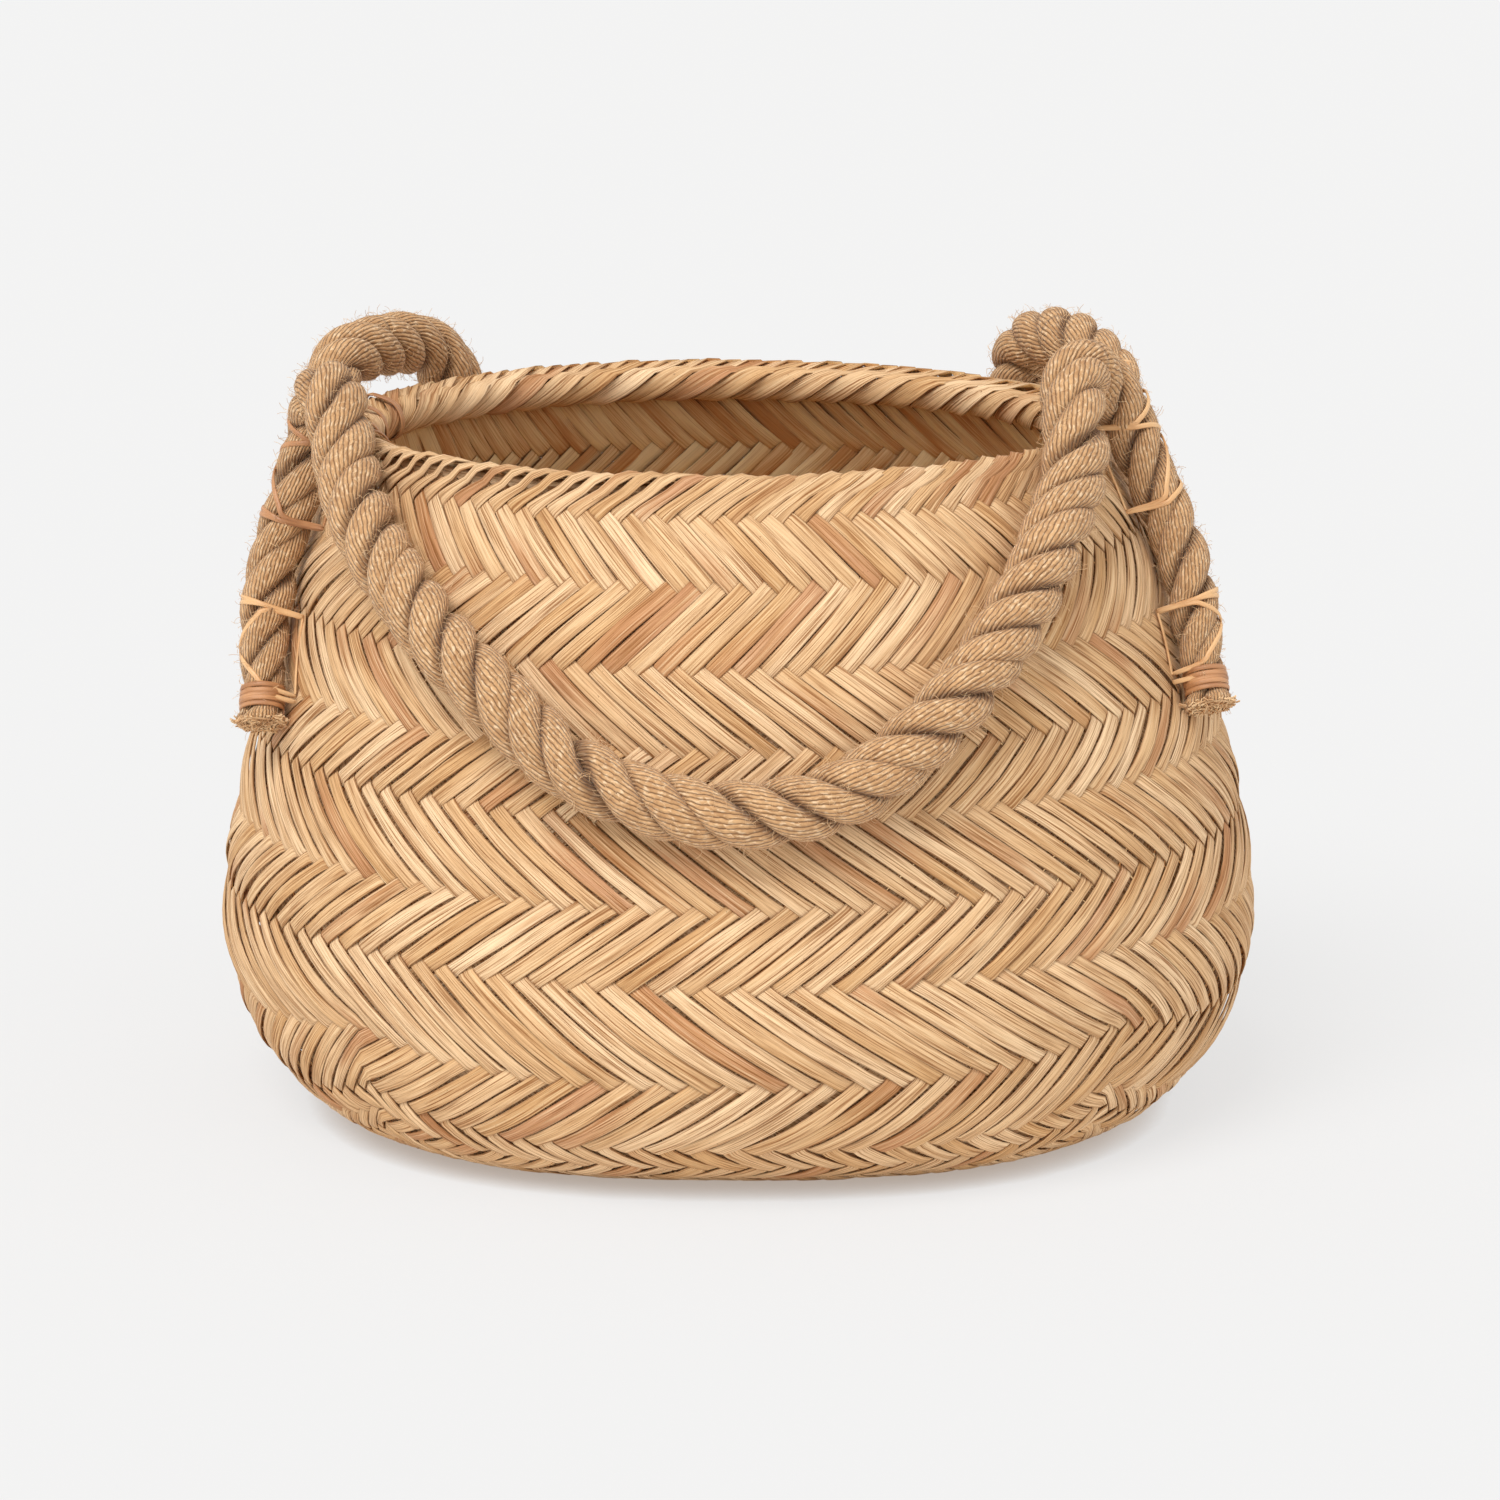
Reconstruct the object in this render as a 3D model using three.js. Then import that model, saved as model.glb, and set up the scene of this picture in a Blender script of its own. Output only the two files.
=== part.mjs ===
// A plaited rattan basket: a low round belly on a rounded square foot, a neck drawn in above
// it, a border of rolled strip ends inside the lip, and two handles of thick laid rope.
// Each handle starts and ends on the outside of the shoulder, where its cut end is whipped
// with cane and laced to the wall. From there the rope climbs past the rim, bends over and
// hangs down the front or the back of the belly.
// Millimetres, +Z up. The origin is the middle of the foot, on the ground, and the front
// handle hangs towards -Y.

import * as THREE from "three";

// Sizes of the plaited body
const BELLY_RADIUS = 215; // widest ring
const FOOT_RADIUS = 140; // flat part that stands on the ground, to the middle of a side
const SHOULDER_RADIUS = 184;
const RIM_RADIUS = 152.5;
const RIM_HEIGHT = 285; // top of the lip
const WALL = 3; // two layers of strip with the air between them
const LIP_RADIUS = 3; // the strips turn inwards over the lip on this radius
const NECK_LEAN = 7; // the mouth sits this far to the left of the foot
const BAND_GROOVE = 1; // depth where one band of herringbone meets the next

// Sizes of the rolled border inside the lip
const BORDER_WIDTH = 11;
const BORDER_DEPTH = 17;
const BORDER_DROP = 4; // from the top of the lip to the top of the border

// Sizes of the rope and of the cane that holds it
const ROPE_DIAMETER = 25;
const ROPE_END_DIAMETER = 22.5; // pulled tight where it is laced to the wall
const CANE_DIAMETER = 2.6;
const WHIPPING_LENGTH = 10;
const WHIPPING_TURNS = 3;
const WHIPPED_DIAMETER = 17; // rope squeezed by its whipping
const FRAY_LENGTH = 8; // cut end below the whipping
const FRAY_DIAMETER = 22;
const LACE_KNOT_SPAN = 5; // a lace goes into the wall and comes out again this far along
const TIE_SPREAD = 23; // between the two legs of a rim tie
const LACE_SLACK = 1; // cane stands off a little where it turns
const SEAT_GAP = 0.3; // between pieces that touch

// Shape of the body, as shares of the sizes above
const bowlExponentShare = 2.2; // 2 is a plain ellipse, more is squarer
const flankHeightShare = 0.52; // a point between the belly and the shoulder
const flankRadiusShare = 0.39;
const neckHeightShare = 0.444; // a point between the shoulder and the rim
const neckRadiusShare = 0.45;
const rimSlopeShare = 0.6; // slope at the rim, of the slope of the neck below it
const leanStartShare = 0.59; // height where the body starts to lean
const mouthWidthShare = 0.02; // the mouth is this much wider to the sides, and as much less deep
const squareShare = 0.08; // how much further the corners of the foot reach than its sides
const bellyHeightShare = 0.284; // of RIM_HEIGHT
const shoulderHeightShare = 0.751; // of RIM_HEIGHT
const squareTopShare = 0.75; // height where the corners have died away, of BELLY_HEIGHT
const bandEndShares = [0.093, 0.197, 0.33, 0.435, 0.553, 0.64, 0.747, 0.853, 0.942]; // of RIM_HEIGHT
const bandFlankShare = 0.22; // of a band, the part that falls into the groove at each of its ends
const footHeightShares = [0, 0.004, 0.02, 0.052]; // points of the outline below the first band

// Facets
const TURN_FACETS = 48;
const BOWL_FACETS = 5;
const UPPER_FACETS = 8;
const LIP_FACETS = 3;
const ROPE_FACETS = 10;
const CANE_FACETS = 5;
const BORDER_FACETS = 8;
const SMALL_TURN_FACETS = 16;

const BELLY_HEIGHT = bellyHeightShare * RIM_HEIGHT; // widest part of the body
const SHOULDER_HEIGHT = shoulderHeightShare * RIM_HEIGHT;
const ROPE_RADIUS = ROPE_DIAMETER / 2;
const ROPE_END_RADIUS = ROPE_END_DIAMETER / 2;
const CANE_RADIUS = CANE_DIAMETER / 2;
const CANE_SEAT = CANE_RADIUS + SEAT_GAP; // from a surface to the middle of cane lying on it
const LACE_REACH = ROPE_END_RADIUS + CANE_SEAT + LACE_SLACK; // from the middle of the rope
const DEGREE = Math.PI / 180;

// Routes of the two ropes, from the left cut end to the right one. Each row is a point on
// the middle of the rope: its direction round the mouth in degrees (180 is left, 270 is the
// front), its height as a share of RIM_HEIGHT, and its distance outside the wall as a share
// of ROPE_DIAMETER, where a half would touch a straight wall.
const frontRouteShares = [
  [200.2, 0.668, 0.54],
  [197.8, 0.725, 0.53],
  [196.1, 0.771, 0.54],
  [194.7, 0.818, 0.57],
  [194.0, 0.863, 0.57],
  [193.4, 0.912, 0.57],
  [192.6, 0.956, 0.57],
  [192.8, 0.998, 0.56],
  [194.2, 1.032, 0.53],
  [196.9, 1.053, 0.49],
  [200.6, 1.057, 0.49],
  [203.9, 1.043, 0.54],
  [206.3, 1.018, 0.6],
  [209.4, 0.985, 0.65],
  [213.0, 0.948, 0.66],
  [224.0, 0.864, 0.66],
  [235.2, 0.774, 0.64],
  [243.8, 0.706, 0.62],
  [251.0, 0.638, 0.61],
  [259.7, 0.592, 0.6],
  [270.0, 0.575, 0.6],
  [280.6, 0.596, 0.6],
  [289.8, 0.663, 0.61],
  [298.6, 0.744, 0.63],
  [308.2, 0.836, 0.66],
  [315.6, 0.909, 0.67],
  [321.5, 0.955, 0.66],
  [325.3, 0.99, 0.6],
  [327.9, 1.023, 0.44],
  [331.1, 1.053, 0.19],
  [335.4, 1.078, 0.01],
  [341.1, 1.085, -0.02],
  [345.9, 1.062, 0.15],
  [348.1, 1.026, 0.42],
  [348.4, 0.99, 0.56],
  [347.8, 0.954, 0.57],
  [347.1, 0.911, 0.56],
  [346.4, 0.87, 0.56],
  [344.9, 0.826, 0.57],
  [343.1, 0.787, 0.56],
  [341.8, 0.753, 0.54],
  [339.5, 0.693, 0.54],
];
const frontStretches = { leftBend: 7, free: 12, rightBend: 28, rightEnd: 34 };

const backRouteShares = [
  [159.8, 0.668, 0.54],
  [162.2, 0.725, 0.53],
  [163.9, 0.771, 0.54],
  [165.3, 0.818, 0.57],
  [166.0, 0.863, 0.57],
  [166.6, 0.912, 0.57],
  [167.4, 0.956, 0.57],
  [166.8, 0.998, 0.57],
  [164.6, 1.029, 0.55],
  [160.4, 1.047, 0.52],
  [154.4, 1.052, 0.49],
  [147.2, 1.051, 0.54],
  [141.1, 1.043, 0.64],
  [136.5, 1.025, 0.7],
  [134.0, 1.0, 0.71],
  [132.2, 0.967, 0.69],
  [129.0, 0.91, 0.67],
  [123.5, 0.82, 0.67],
  [117.0, 0.7, 0.63],
  [109.5, 0.58, 0.6],
  [100.5, 0.475, 0.6],
  [90.0, 0.435, 0.6],
  [79.5, 0.475, 0.6],
  [70.5, 0.58, 0.6],
  [62.0, 0.7, 0.63],
  [53.5, 0.82, 0.67],
  [46.5, 0.91, 0.68],
  [43.4, 0.967, 0.67],
  [41.8, 1.005, 0.65],
  [39.9, 1.032, 0.6],
  [36.4, 1.051, 0.51],
  [31.4, 1.061, 0.42],
  [25.5, 1.062, 0.38],
  [19.6, 1.051, 0.42],
  [14.8, 1.027, 0.52],
  [12.7, 0.99, 0.57],
  [12.5, 0.954, 0.57],
  [12.9, 0.911, 0.56],
  [13.6, 0.87, 0.56],
  [15.1, 0.826, 0.57],
  [16.9, 0.787, 0.56],
  [18.2, 0.753, 0.54],
  [20.5, 0.693, 0.54],
];
const backStretches = { leftBend: 7, free: 14, rightBend: 28, rightEnd: 35 };

// Heights of the laces, as shares of RIM_HEIGHT
const upperLaceShares = [0.925, 0.88, 0.835];
const lowerLaceShares = [0.755, 0.72];
// Angles round the rope where a lace lies on it, from one side over the outside to the other
const laceTurnShares = [-0.55, -0.35, -0.12, 0.12, 0.35, 0.55];

// Directions round the border and round the rope where a rim tie lies on them
const borderTurnDegrees = [262, 225, 190, 155, 120];
const tieTurnDegrees = [114, 84, 50, 17];

// Materials
const straw = new THREE.MeshStandardMaterial({ color: 0xcba671, roughness: 0.7, metalness: 0 });
const strawDark = new THREE.MeshStandardMaterial({ color: 0xb98d58, roughness: 0.7, metalness: 0 });
const jute = new THREE.MeshStandardMaterial({ color: 0xa98558, roughness: 0.95, metalness: 0 });
const cane = new THREE.MeshStandardMaterial({ color: 0xc8834c, roughness: 0.55, metalness: 0 });

// The body's outline: the radius of its outer face at a height

const knots = [
  [BELLY_HEIGHT, BELLY_RADIUS],
  [
    BELLY_HEIGHT + flankHeightShare * (SHOULDER_HEIGHT - BELLY_HEIGHT),
    BELLY_RADIUS - flankRadiusShare * (BELLY_RADIUS - SHOULDER_RADIUS),
  ],
  [SHOULDER_HEIGHT, SHOULDER_RADIUS],
  [
    SHOULDER_HEIGHT + neckHeightShare * (RIM_HEIGHT - SHOULDER_HEIGHT),
    SHOULDER_RADIUS - neckRadiusShare * (SHOULDER_RADIUS - RIM_RADIUS),
  ],
  [RIM_HEIGHT, RIM_RADIUS],
];
const slopes = knots.map(([height, radius], i) => {
  if (i === 0) return 0;
  const [lowHeight, lowRadius] = knots[i - 1];
  if (i === knots.length - 1) return (rimSlopeShare * (radius - lowRadius)) / (height - lowHeight);
  const [highHeight, highRadius] = knots[i + 1];
  return (highRadius - lowRadius) / (highHeight - lowHeight);
});

function wallRadius(height) {
  if (height <= 0) return FOOT_RADIUS;
  if (height < BELLY_HEIGHT) {
    const n = bowlExponentShare;
    const up = (BELLY_HEIGHT - height) / BELLY_HEIGHT;
    return FOOT_RADIUS + (BELLY_RADIUS - FOOT_RADIUS) * (1 - up ** n) ** (1 / n);
  }
  if (height >= RIM_HEIGHT) return RIM_RADIUS;
  let i = 0;
  while (height >= knots[i + 1][0]) i += 1;
  const span = knots[i + 1][0] - knots[i][0];
  const t = (height - knots[i][0]) / span;
  return (
    (2 * t ** 3 - 3 * t ** 2 + 1) * knots[i][1] +
    (t ** 3 - 2 * t ** 2 + t) * span * slopes[i] +
    (3 * t ** 2 - 2 * t ** 3) * knots[i + 1][1] +
    (t ** 3 - t ** 2) * span * slopes[i + 1]
  );
}

// The mouth stands a little to the left of the foot
function leanAt(height) {
  const start = leanStartShare * RIM_HEIGHT;
  const share = THREE.MathUtils.clamp((height - start) / (RIM_HEIGHT - start), 0, 1);
  return -NECK_LEAN * share;
}

// Above the shoulder the round body turns slowly into an oval
function widening(height) {
  const share = (height - SHOULDER_HEIGHT) / (RIM_HEIGHT - SHOULDER_HEIGHT);
  return mouthWidthShare * THREE.MathUtils.clamp(share, 0, 1);
}

// The corners of the square foot push the bowl out low down
function squareness(height, turn) {
  const share = THREE.MathUtils.clamp(1 - height / (squareTopShare * BELLY_HEIGHT), 0, 1);
  return 1 + (squareShare * share ** 2 * (1 - Math.cos(4 * turn))) / 2;
}

// A point at a distance from the middle line of the body, in a direction round it
function around(turn, radius, height) {
  return new THREE.Vector3(
    leanAt(height) + radius * (1 + widening(height)) * Math.cos(turn),
    radius * (1 - widening(height)) * Math.sin(turn),
    height,
  );
}

// Puts a turned shape, whose own axis is Y, upright on the body's leaning middle line
function standUp(geometry, square) {
  geometry.rotateX(Math.PI / 2);
  const places = geometry.getAttribute("position");
  for (let i = 0; i < places.count; i += 1) {
    const [x, y, height] = [places.getX(i), places.getY(i), places.getZ(i)];
    const turn = Math.atan2(y, x);
    const corner = square ? squareness(height, turn) : 1;
    const place = around(turn, Math.hypot(x, y) * corner, height);
    places.setXYZ(i, place.x, place.y, place.z);
  }
  geometry.computeVertexNormals();
  return geometry;
}

// The plaited body, one shell from the foot to the lip

// Outside, each band of herringbone stands out between two shallow grooves
function bandedOutline() {
  const points = [new THREE.Vector2(0, 0), new THREE.Vector2(FOOT_RADIUS / 2, 0)];
  for (const share of footHeightShares) {
    points.push(new THREE.Vector2(wallRadius(share * RIM_HEIGHT), share * RIM_HEIGHT));
  }
  const ends = bandEndShares.map((share) => share * RIM_HEIGHT);
  const tops = [...ends.slice(1), RIM_HEIGHT - LIP_RADIUS];
  ends.forEach((end, i) => {
    const flank = bandFlankShare * (tops[i] - end);
    points.push(new THREE.Vector2(wallRadius(end) - BAND_GROOVE, end));
    points.push(new THREE.Vector2(wallRadius(end + flank), end + flank));
    if (i < ends.length - 1) {
      points.push(new THREE.Vector2(wallRadius(tops[i] - flank), tops[i] - flank));
    }
  });
  return [...points, ...lipOutline()];
}

function lipOutline() {
  const points = [];
  const lipFoot = RIM_HEIGHT - LIP_RADIUS;
  const lipMiddle = wallRadius(lipFoot) - LIP_RADIUS;
  for (let i = 0; i <= LIP_FACETS; i += 1) {
    const angle = ((Math.PI / 2) * i) / LIP_FACETS;
    points.push(
      new THREE.Vector2(
        lipMiddle + LIP_RADIUS * Math.cos(angle),
        lipFoot + LIP_RADIUS * Math.sin(angle),
      ),
    );
  }
  return points;
}

// Inside, the wall is smooth
function smoothOutline() {
  const points = [new THREE.Vector2(0, 0), new THREE.Vector2(FOOT_RADIUS / 2, 0)];
  const power = 2 / bowlExponentShare;
  for (let i = 0; i <= BOWL_FACETS; i += 1) {
    const angle = ((Math.PI / 2) * i) / BOWL_FACETS;
    points.push(
      new THREE.Vector2(
        FOOT_RADIUS + (BELLY_RADIUS - FOOT_RADIUS) * Math.sin(angle) ** power,
        BELLY_HEIGHT * (1 - Math.max(Math.cos(angle), 0) ** power),
      ),
    );
  }
  const lipFoot = RIM_HEIGHT - LIP_RADIUS;
  for (let i = 1; i < UPPER_FACETS; i += 1) {
    const height = BELLY_HEIGHT + ((lipFoot - BELLY_HEIGHT) * i) / UPPER_FACETS;
    points.push(new THREE.Vector2(wallRadius(height), height));
  }
  return [...points, ...lipOutline()];
}

// The same outline moved inwards by the wall, square to its own run
function movedIn(points, distance) {
  return points.map((point, i) => {
    const before = points[Math.max(i - 1, 0)];
    const after = points[Math.min(i + 1, points.length - 1)];
    const run = after.clone().sub(before).normalize();
    const x = i === 0 ? 0 : point.x - run.y * distance;
    return new THREE.Vector2(x, i <= 1 ? distance : point.y + run.x * distance);
  });
}

function innerRadius(inner, height) {
  const above = inner.findIndex((point, i) => i > 1 && point.y >= height);
  const [low, high] = [inner[above - 1], inner[above]];
  return THREE.MathUtils.mapLinear(height, low.y, high.y, low.x, high.x);
}

const outer = bandedOutline();
const inner = movedIn(smoothOutline(), WALL);

function plaitedBody() {
  return standUp(new THREE.LatheGeometry([...outer, ...inner.toReversed()], TURN_FACETS), true);
}

// The rolled border, a ring of oval section that lies against the wall under the lip

const BORDER_TOP = RIM_HEIGHT - BORDER_DROP;
const BORDER_MIDDLE = BORDER_TOP - BORDER_DEPTH / 2;

function borderSection(grow) {
  const points = [];
  for (let i = 0; i < BORDER_FACETS; i += 1) {
    const angle = (2 * Math.PI * i) / BORDER_FACETS;
    points.push([
      (BORDER_WIDTH / 2 + grow) * Math.cos(angle),
      (BORDER_DEPTH / 2 + grow) * Math.sin(angle),
    ]);
  }
  return points;
}

const BORDER_RADIUS = Math.min(
  ...borderSection(SEAT_GAP).map(([x, y]) => innerRadius(inner, BORDER_MIDDLE + y) - x),
);

function rolledBorder() {
  const ring = borderSection(0).map(
    ([x, y]) => new THREE.Vector2(BORDER_RADIUS + x, BORDER_MIDDLE + y),
  );
  return standUp(new THREE.LatheGeometry([...ring, ring[0].clone()], TURN_FACETS), false);
}

// Ropes: one smooth curve through the route's points, cut into stretches

function ropeCurve(routeShares) {
  const points = routeShares.map(([degrees, heightShare, distanceShare]) => {
    const height = heightShare * RIM_HEIGHT;
    return around(degrees * DEGREE, wallRadius(height) + distanceShare * ROPE_DIAMETER, height);
  });
  return new THREE.CatmullRomCurve3(points, false, "centripetal");
}

// Part of a longer curve, from one of its points to another, less half a gap at each cut
class Stretch extends THREE.Curve {
  constructor(curve, from, to, gap = SEAT_GAP) {
    super();
    const runs = curve.points.length - 1;
    const length = (i) => curve.points[i].distanceTo(curve.points[i + 1]);
    this.curve = curve;
    this.from = (from + gap / 2 / length(from)) / runs;
    this.to = (to - gap / 2 / length(to - 1)) / runs;
  }
  getPoint(t, target = new THREE.Vector3()) {
    return this.curve.getPoint(THREE.MathUtils.lerp(this.from, this.to, t), target);
  }
}

function disc(radius, facets) {
  const points = [];
  for (let i = 0; i < facets; i += 1) {
    const angle = (2 * Math.PI * i) / facets;
    points.push(new THREE.Vector2(radius * Math.cos(angle), radius * Math.sin(angle)));
  }
  return new THREE.Shape(points);
}

function tube(path, radius, facets, stepLength) {
  const steps = Math.max(2, Math.round(path.getLength() / stepLength));
  return new THREE.ExtrudeGeometry(disc(radius, facets), { steps, extrudePath: path });
}

// A cut rope end: it narrows where the whipping squeezes it and flares at the cut

const WHIPPING_BULGE = CANE_DIAMETER / 2; // a turn of cane is half as thick as a lace
const WHIPPING_START = WHIPPED_DIAMETER / 4; // below the full rope

function frayedTip() {
  const end = WHIPPING_START + WHIPPING_LENGTH;
  const points = [
    new THREE.Vector2(0, 0),
    new THREE.Vector2(ROPE_END_RADIUS, 0),
    new THREE.Vector2(WHIPPED_DIAMETER / 2, WHIPPING_START - SEAT_GAP),
    new THREE.Vector2(WHIPPED_DIAMETER / 2, end + SEAT_GAP),
    new THREE.Vector2(FRAY_DIAMETER / 2, end + FRAY_LENGTH / 2),
    new THREE.Vector2(FRAY_DIAMETER / 2, end + FRAY_LENGTH - FRAY_LENGTH / 4),
    new THREE.Vector2(WHIPPED_DIAMETER / 2, end + FRAY_LENGTH),
    new THREE.Vector2(0, end + FRAY_LENGTH),
  ];
  return new THREE.LatheGeometry(points, SMALL_TURN_FACETS);
}

// Turns of cane side by side round the squeezed rope
function whipping() {
  const inside = WHIPPED_DIAMETER / 2 + SEAT_GAP;
  const turn = WHIPPING_LENGTH / WHIPPING_TURNS;
  const points = [
    new THREE.Vector2(inside, WHIPPING_START + WHIPPING_LENGTH),
    new THREE.Vector2(inside, WHIPPING_START),
  ];
  for (let i = 0; i < WHIPPING_TURNS; i += 1) {
    const start = WHIPPING_START + i * turn;
    points.push(
      new THREE.Vector2(inside + WHIPPING_BULGE / 2, start),
      new THREE.Vector2(inside + WHIPPING_BULGE, start + turn / 2),
    );
  }
  points.push(new THREE.Vector2(inside + WHIPPING_BULGE / 2, WHIPPING_START + WHIPPING_LENGTH));
  points.push(points[0].clone());
  return new THREE.LatheGeometry(points, SMALL_TURN_FACETS);
}

// A turned piece placed at the cut end of a rope, with its axis along the rope
function atRopeEnd(geometry, place, outwards) {
  const turn = new THREE.Quaternion().setFromUnitVectors(new THREE.Vector3(0, 1, 0), outwards);
  geometry.applyQuaternion(turn);
  geometry.translate(place.x, place.y, place.z);
  return geometry;
}

// Cane laces: over the rope, into the wall beside it, and back over the rope

function nearHeight(curve, height) {
  const tries = 200;
  let best = 0;
  for (let i = 0; i <= tries; i += 1) {
    const off = Math.abs(curve.getPoint(i / tries).z - height);
    if (off < Math.abs(curve.getPoint(best).z - height)) best = i / tries;
  }
  return best;
}

// Directions at a point of a rope end: along it, away from the wall, and sideways
function ropeSides(curve, t) {
  const middle = curve.getPoint(t);
  const along = curve.getTangent(t);
  if (along.z < 0) along.negate();
  const away = new THREE.Vector3(middle.x - leanAt(middle.z), middle.y, 0).normalize();
  away.addScaledVector(along, -away.dot(along)).normalize();
  const side = new THREE.Vector3().crossVectors(away, along);
  return { middle, away, side };
}

function wallKnot(curve, height, hand) {
  const { middle } = ropeSides(curve, nearHeight(curve, height));
  const reach = ROPE_END_RADIUS + 2 * CANE_DIAMETER;
  const turn = Math.atan2(middle.y, middle.x - leanAt(middle.z));
  const radius = wallRadius(height);
  return around(turn + (hand * reach) / radius, radius + 2 * CANE_SEAT, height);
}

function lacePath(curve, heightShares, firstHand) {
  const points = [];
  const half = LACE_KNOT_SPAN / 2;
  let hand = firstHand;
  const heights = heightShares.map((share) => share * RIM_HEIGHT);
  const bends = [heights[0], ...heights, heights[heights.length - 1]];
  points.push(wallKnot(curve, heights[0] + half, hand));
  for (let i = 0; i < heights.length; i += 1) {
    const from = (bends[i] + bends[i + 1]) / 2 - (i === 0 ? 0 : half);
    const to = (bends[i + 1] + bends[i + 2]) / 2 + (i === heights.length - 1 ? 0 : half);
    for (const share of laceTurnShares) {
      const height = THREE.MathUtils.mapLinear(
        share,
        laceTurnShares[0],
        laceTurnShares[laceTurnShares.length - 1],
        from,
        to,
      );
      const { middle, away, side } = ropeSides(curve, nearHeight(curve, height));
      const angle = share * Math.PI * hand;
      points.push(
        middle
          .addScaledVector(away, LACE_REACH * Math.cos(angle))
          .addScaledVector(side, LACE_REACH * Math.sin(angle)),
      );
    }
    hand = -hand;
    points.push(wallKnot(curve, to, hand));
    if (i < heights.length - 1) points.push(wallKnot(curve, to - LACE_KNOT_SPAN, hand));
  }
  return new THREE.CatmullRomCurve3(points, false, "centripetal");
}

// A point moved out, where need be, until cane there lies clear of the wall
function clearOfWall(place) {
  const { x, y, z: height } = place;
  const fall = wallRadius(height - CANE_DIAMETER) - wallRadius(height + CANE_DIAMETER);
  const slope = fall / (2 * CANE_DIAMETER);
  const least = wallRadius(height) + (CANE_SEAT + LACE_SLACK) * Math.hypot(1, slope);
  const radius = Math.hypot(x - leanAt(height), y);
  const turn = Math.atan2(y, x - leanAt(height));
  return radius < least ? around(turn, least, height) : place;
}

// A rim tie: up inside the border, over the lip, round the rope and back the same way

function tiePath(curve) {
  const t = nearHeight(curve, BORDER_MIDDLE);
  const { middle, away, side } = ropeSides(curve, t);
  const turn = Math.atan2(middle.y, middle.x - leanAt(middle.z));
  const spread = TIE_SPREAD / 2 / RIM_RADIUS;
  const seat = CANE_SEAT + LACE_SLACK;
  const leg = (hand) => {
    const points = [];
    for (const degrees of borderTurnDegrees) {
      const angle = degrees * DEGREE;
      const radius = BORDER_RADIUS + (BORDER_WIDTH / 2 + seat) * Math.cos(angle);
      const height = BORDER_MIDDLE + (BORDER_DEPTH / 2 + seat) * Math.sin(angle);
      points.push(around(turn + hand * spread, radius, height));
    }
    const overLip = RIM_HEIGHT + CANE_SEAT;
    points.push(around(turn + hand * spread, RIM_RADIUS - 2 * LIP_RADIUS, overLip));
    points.push(around(turn + hand * spread, RIM_RADIUS, overLip));
    for (const degrees of tieTurnDegrees) {
      const angle = degrees * DEGREE * hand;
      const place = middle.clone().addScaledVector(away, LACE_REACH * Math.cos(angle));
      points.push(clearOfWall(place.addScaledVector(side, -LACE_REACH * Math.sin(angle))));
    }
    return points;
  };
  return new THREE.CatmullRomCurve3([...leg(1), ...leg(-1).reverse()], false, "centripetal");
}

// The whole basket

const basket = new THREE.Group();
basket.name = "rattan_basket";

function add(name, geometry, material) {
  const mesh = new THREE.Mesh(geometry, material.clone());
  mesh.name = name;
  basket.add(mesh);
}

add("plaited_body", plaitedBody(), straw);
add("rolled_border", rolledBorder(), strawDark);

const ROPE_STEP = 0.55 * ROPE_DIAMETER; // length between two rings of facets
const BEND_STEP = ROPE_DIAMETER / 4;
const LACE_STEP = 2.8 * CANE_DIAMETER;
const TIE_STEP = 2.3 * CANE_DIAMETER;

function addRopeEnd(name, curve, from, to, outwardsAt) {
  const stretch = new Stretch(curve, from, to);
  add(`${name}_rope_end`, tube(stretch, ROPE_END_RADIUS, ROPE_FACETS, ROPE_STEP), jute);
  const place = curve.getPoint(outwardsAt);
  const outwards = curve.getTangent(outwardsAt).multiplyScalar(outwardsAt === 0 ? -1 : 1);
  place.addScaledVector(outwards, SEAT_GAP / 2);
  add(`${name}_frayed_tip`, atRopeEnd(frayedTip(), place, outwards), jute);
  add(`${name}_whipping`, atRopeEnd(whipping(), place, outwards), cane);
  const hand = name.includes("left") === name.includes("front") ? 1 : -1;
  add(
    `${name}_upper_lace`,
    tube(lacePath(stretch, upperLaceShares, hand), CANE_RADIUS, CANE_FACETS, LACE_STEP),
    cane,
  );
  add(
    `${name}_lower_lace`,
    tube(lacePath(stretch, lowerLaceShares, hand), CANE_RADIUS, CANE_FACETS, LACE_STEP),
    cane,
  );
  add(`${name}_rim_tie`, tube(tiePath(stretch), CANE_RADIUS, CANE_FACETS, TIE_STEP), cane);
}

function addHandle(name, routeShares, at) {
  const curve = ropeCurve(routeShares);
  addRopeEnd(`${name}_left`, curve, 0, at.leftBend, 0);
  addRopeEnd(`${name}_right`, curve, at.rightEnd, routeShares.length - 1, 1);
  const bend = (from, to) => tube(new Stretch(curve, from, to), ROPE_RADIUS, ROPE_FACETS, BEND_STEP);
  add(`${name}_left_rope_bend`, bend(at.leftBend, at.free), jute);
  add(`${name}_right_rope_bend`, bend(at.rightBend, at.rightEnd), jute);
  const free = new Stretch(curve, at.free, at.rightBend);
  add(`${name}_handle_rope`, tube(free, ROPE_RADIUS, ROPE_FACETS, ROPE_STEP), jute);
}

addHandle("front", frontRouteShares, frontStretches);
addHandle("back", backRouteShares, backStretches);

export default basket;
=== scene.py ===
# %% [markdown]
# # A plaited rattan basket with two rope handles
# The basket is woven of flat split strips, in broad bands of herringbone, and its
# two handles are lengths of thick jute rope, laced to the shoulders with cane.
# Its solid model was made first and is loaded here as the frame. Everything that
# is drawn below lies on that frame, in metres, with Z up and the front towards -Y.

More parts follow.
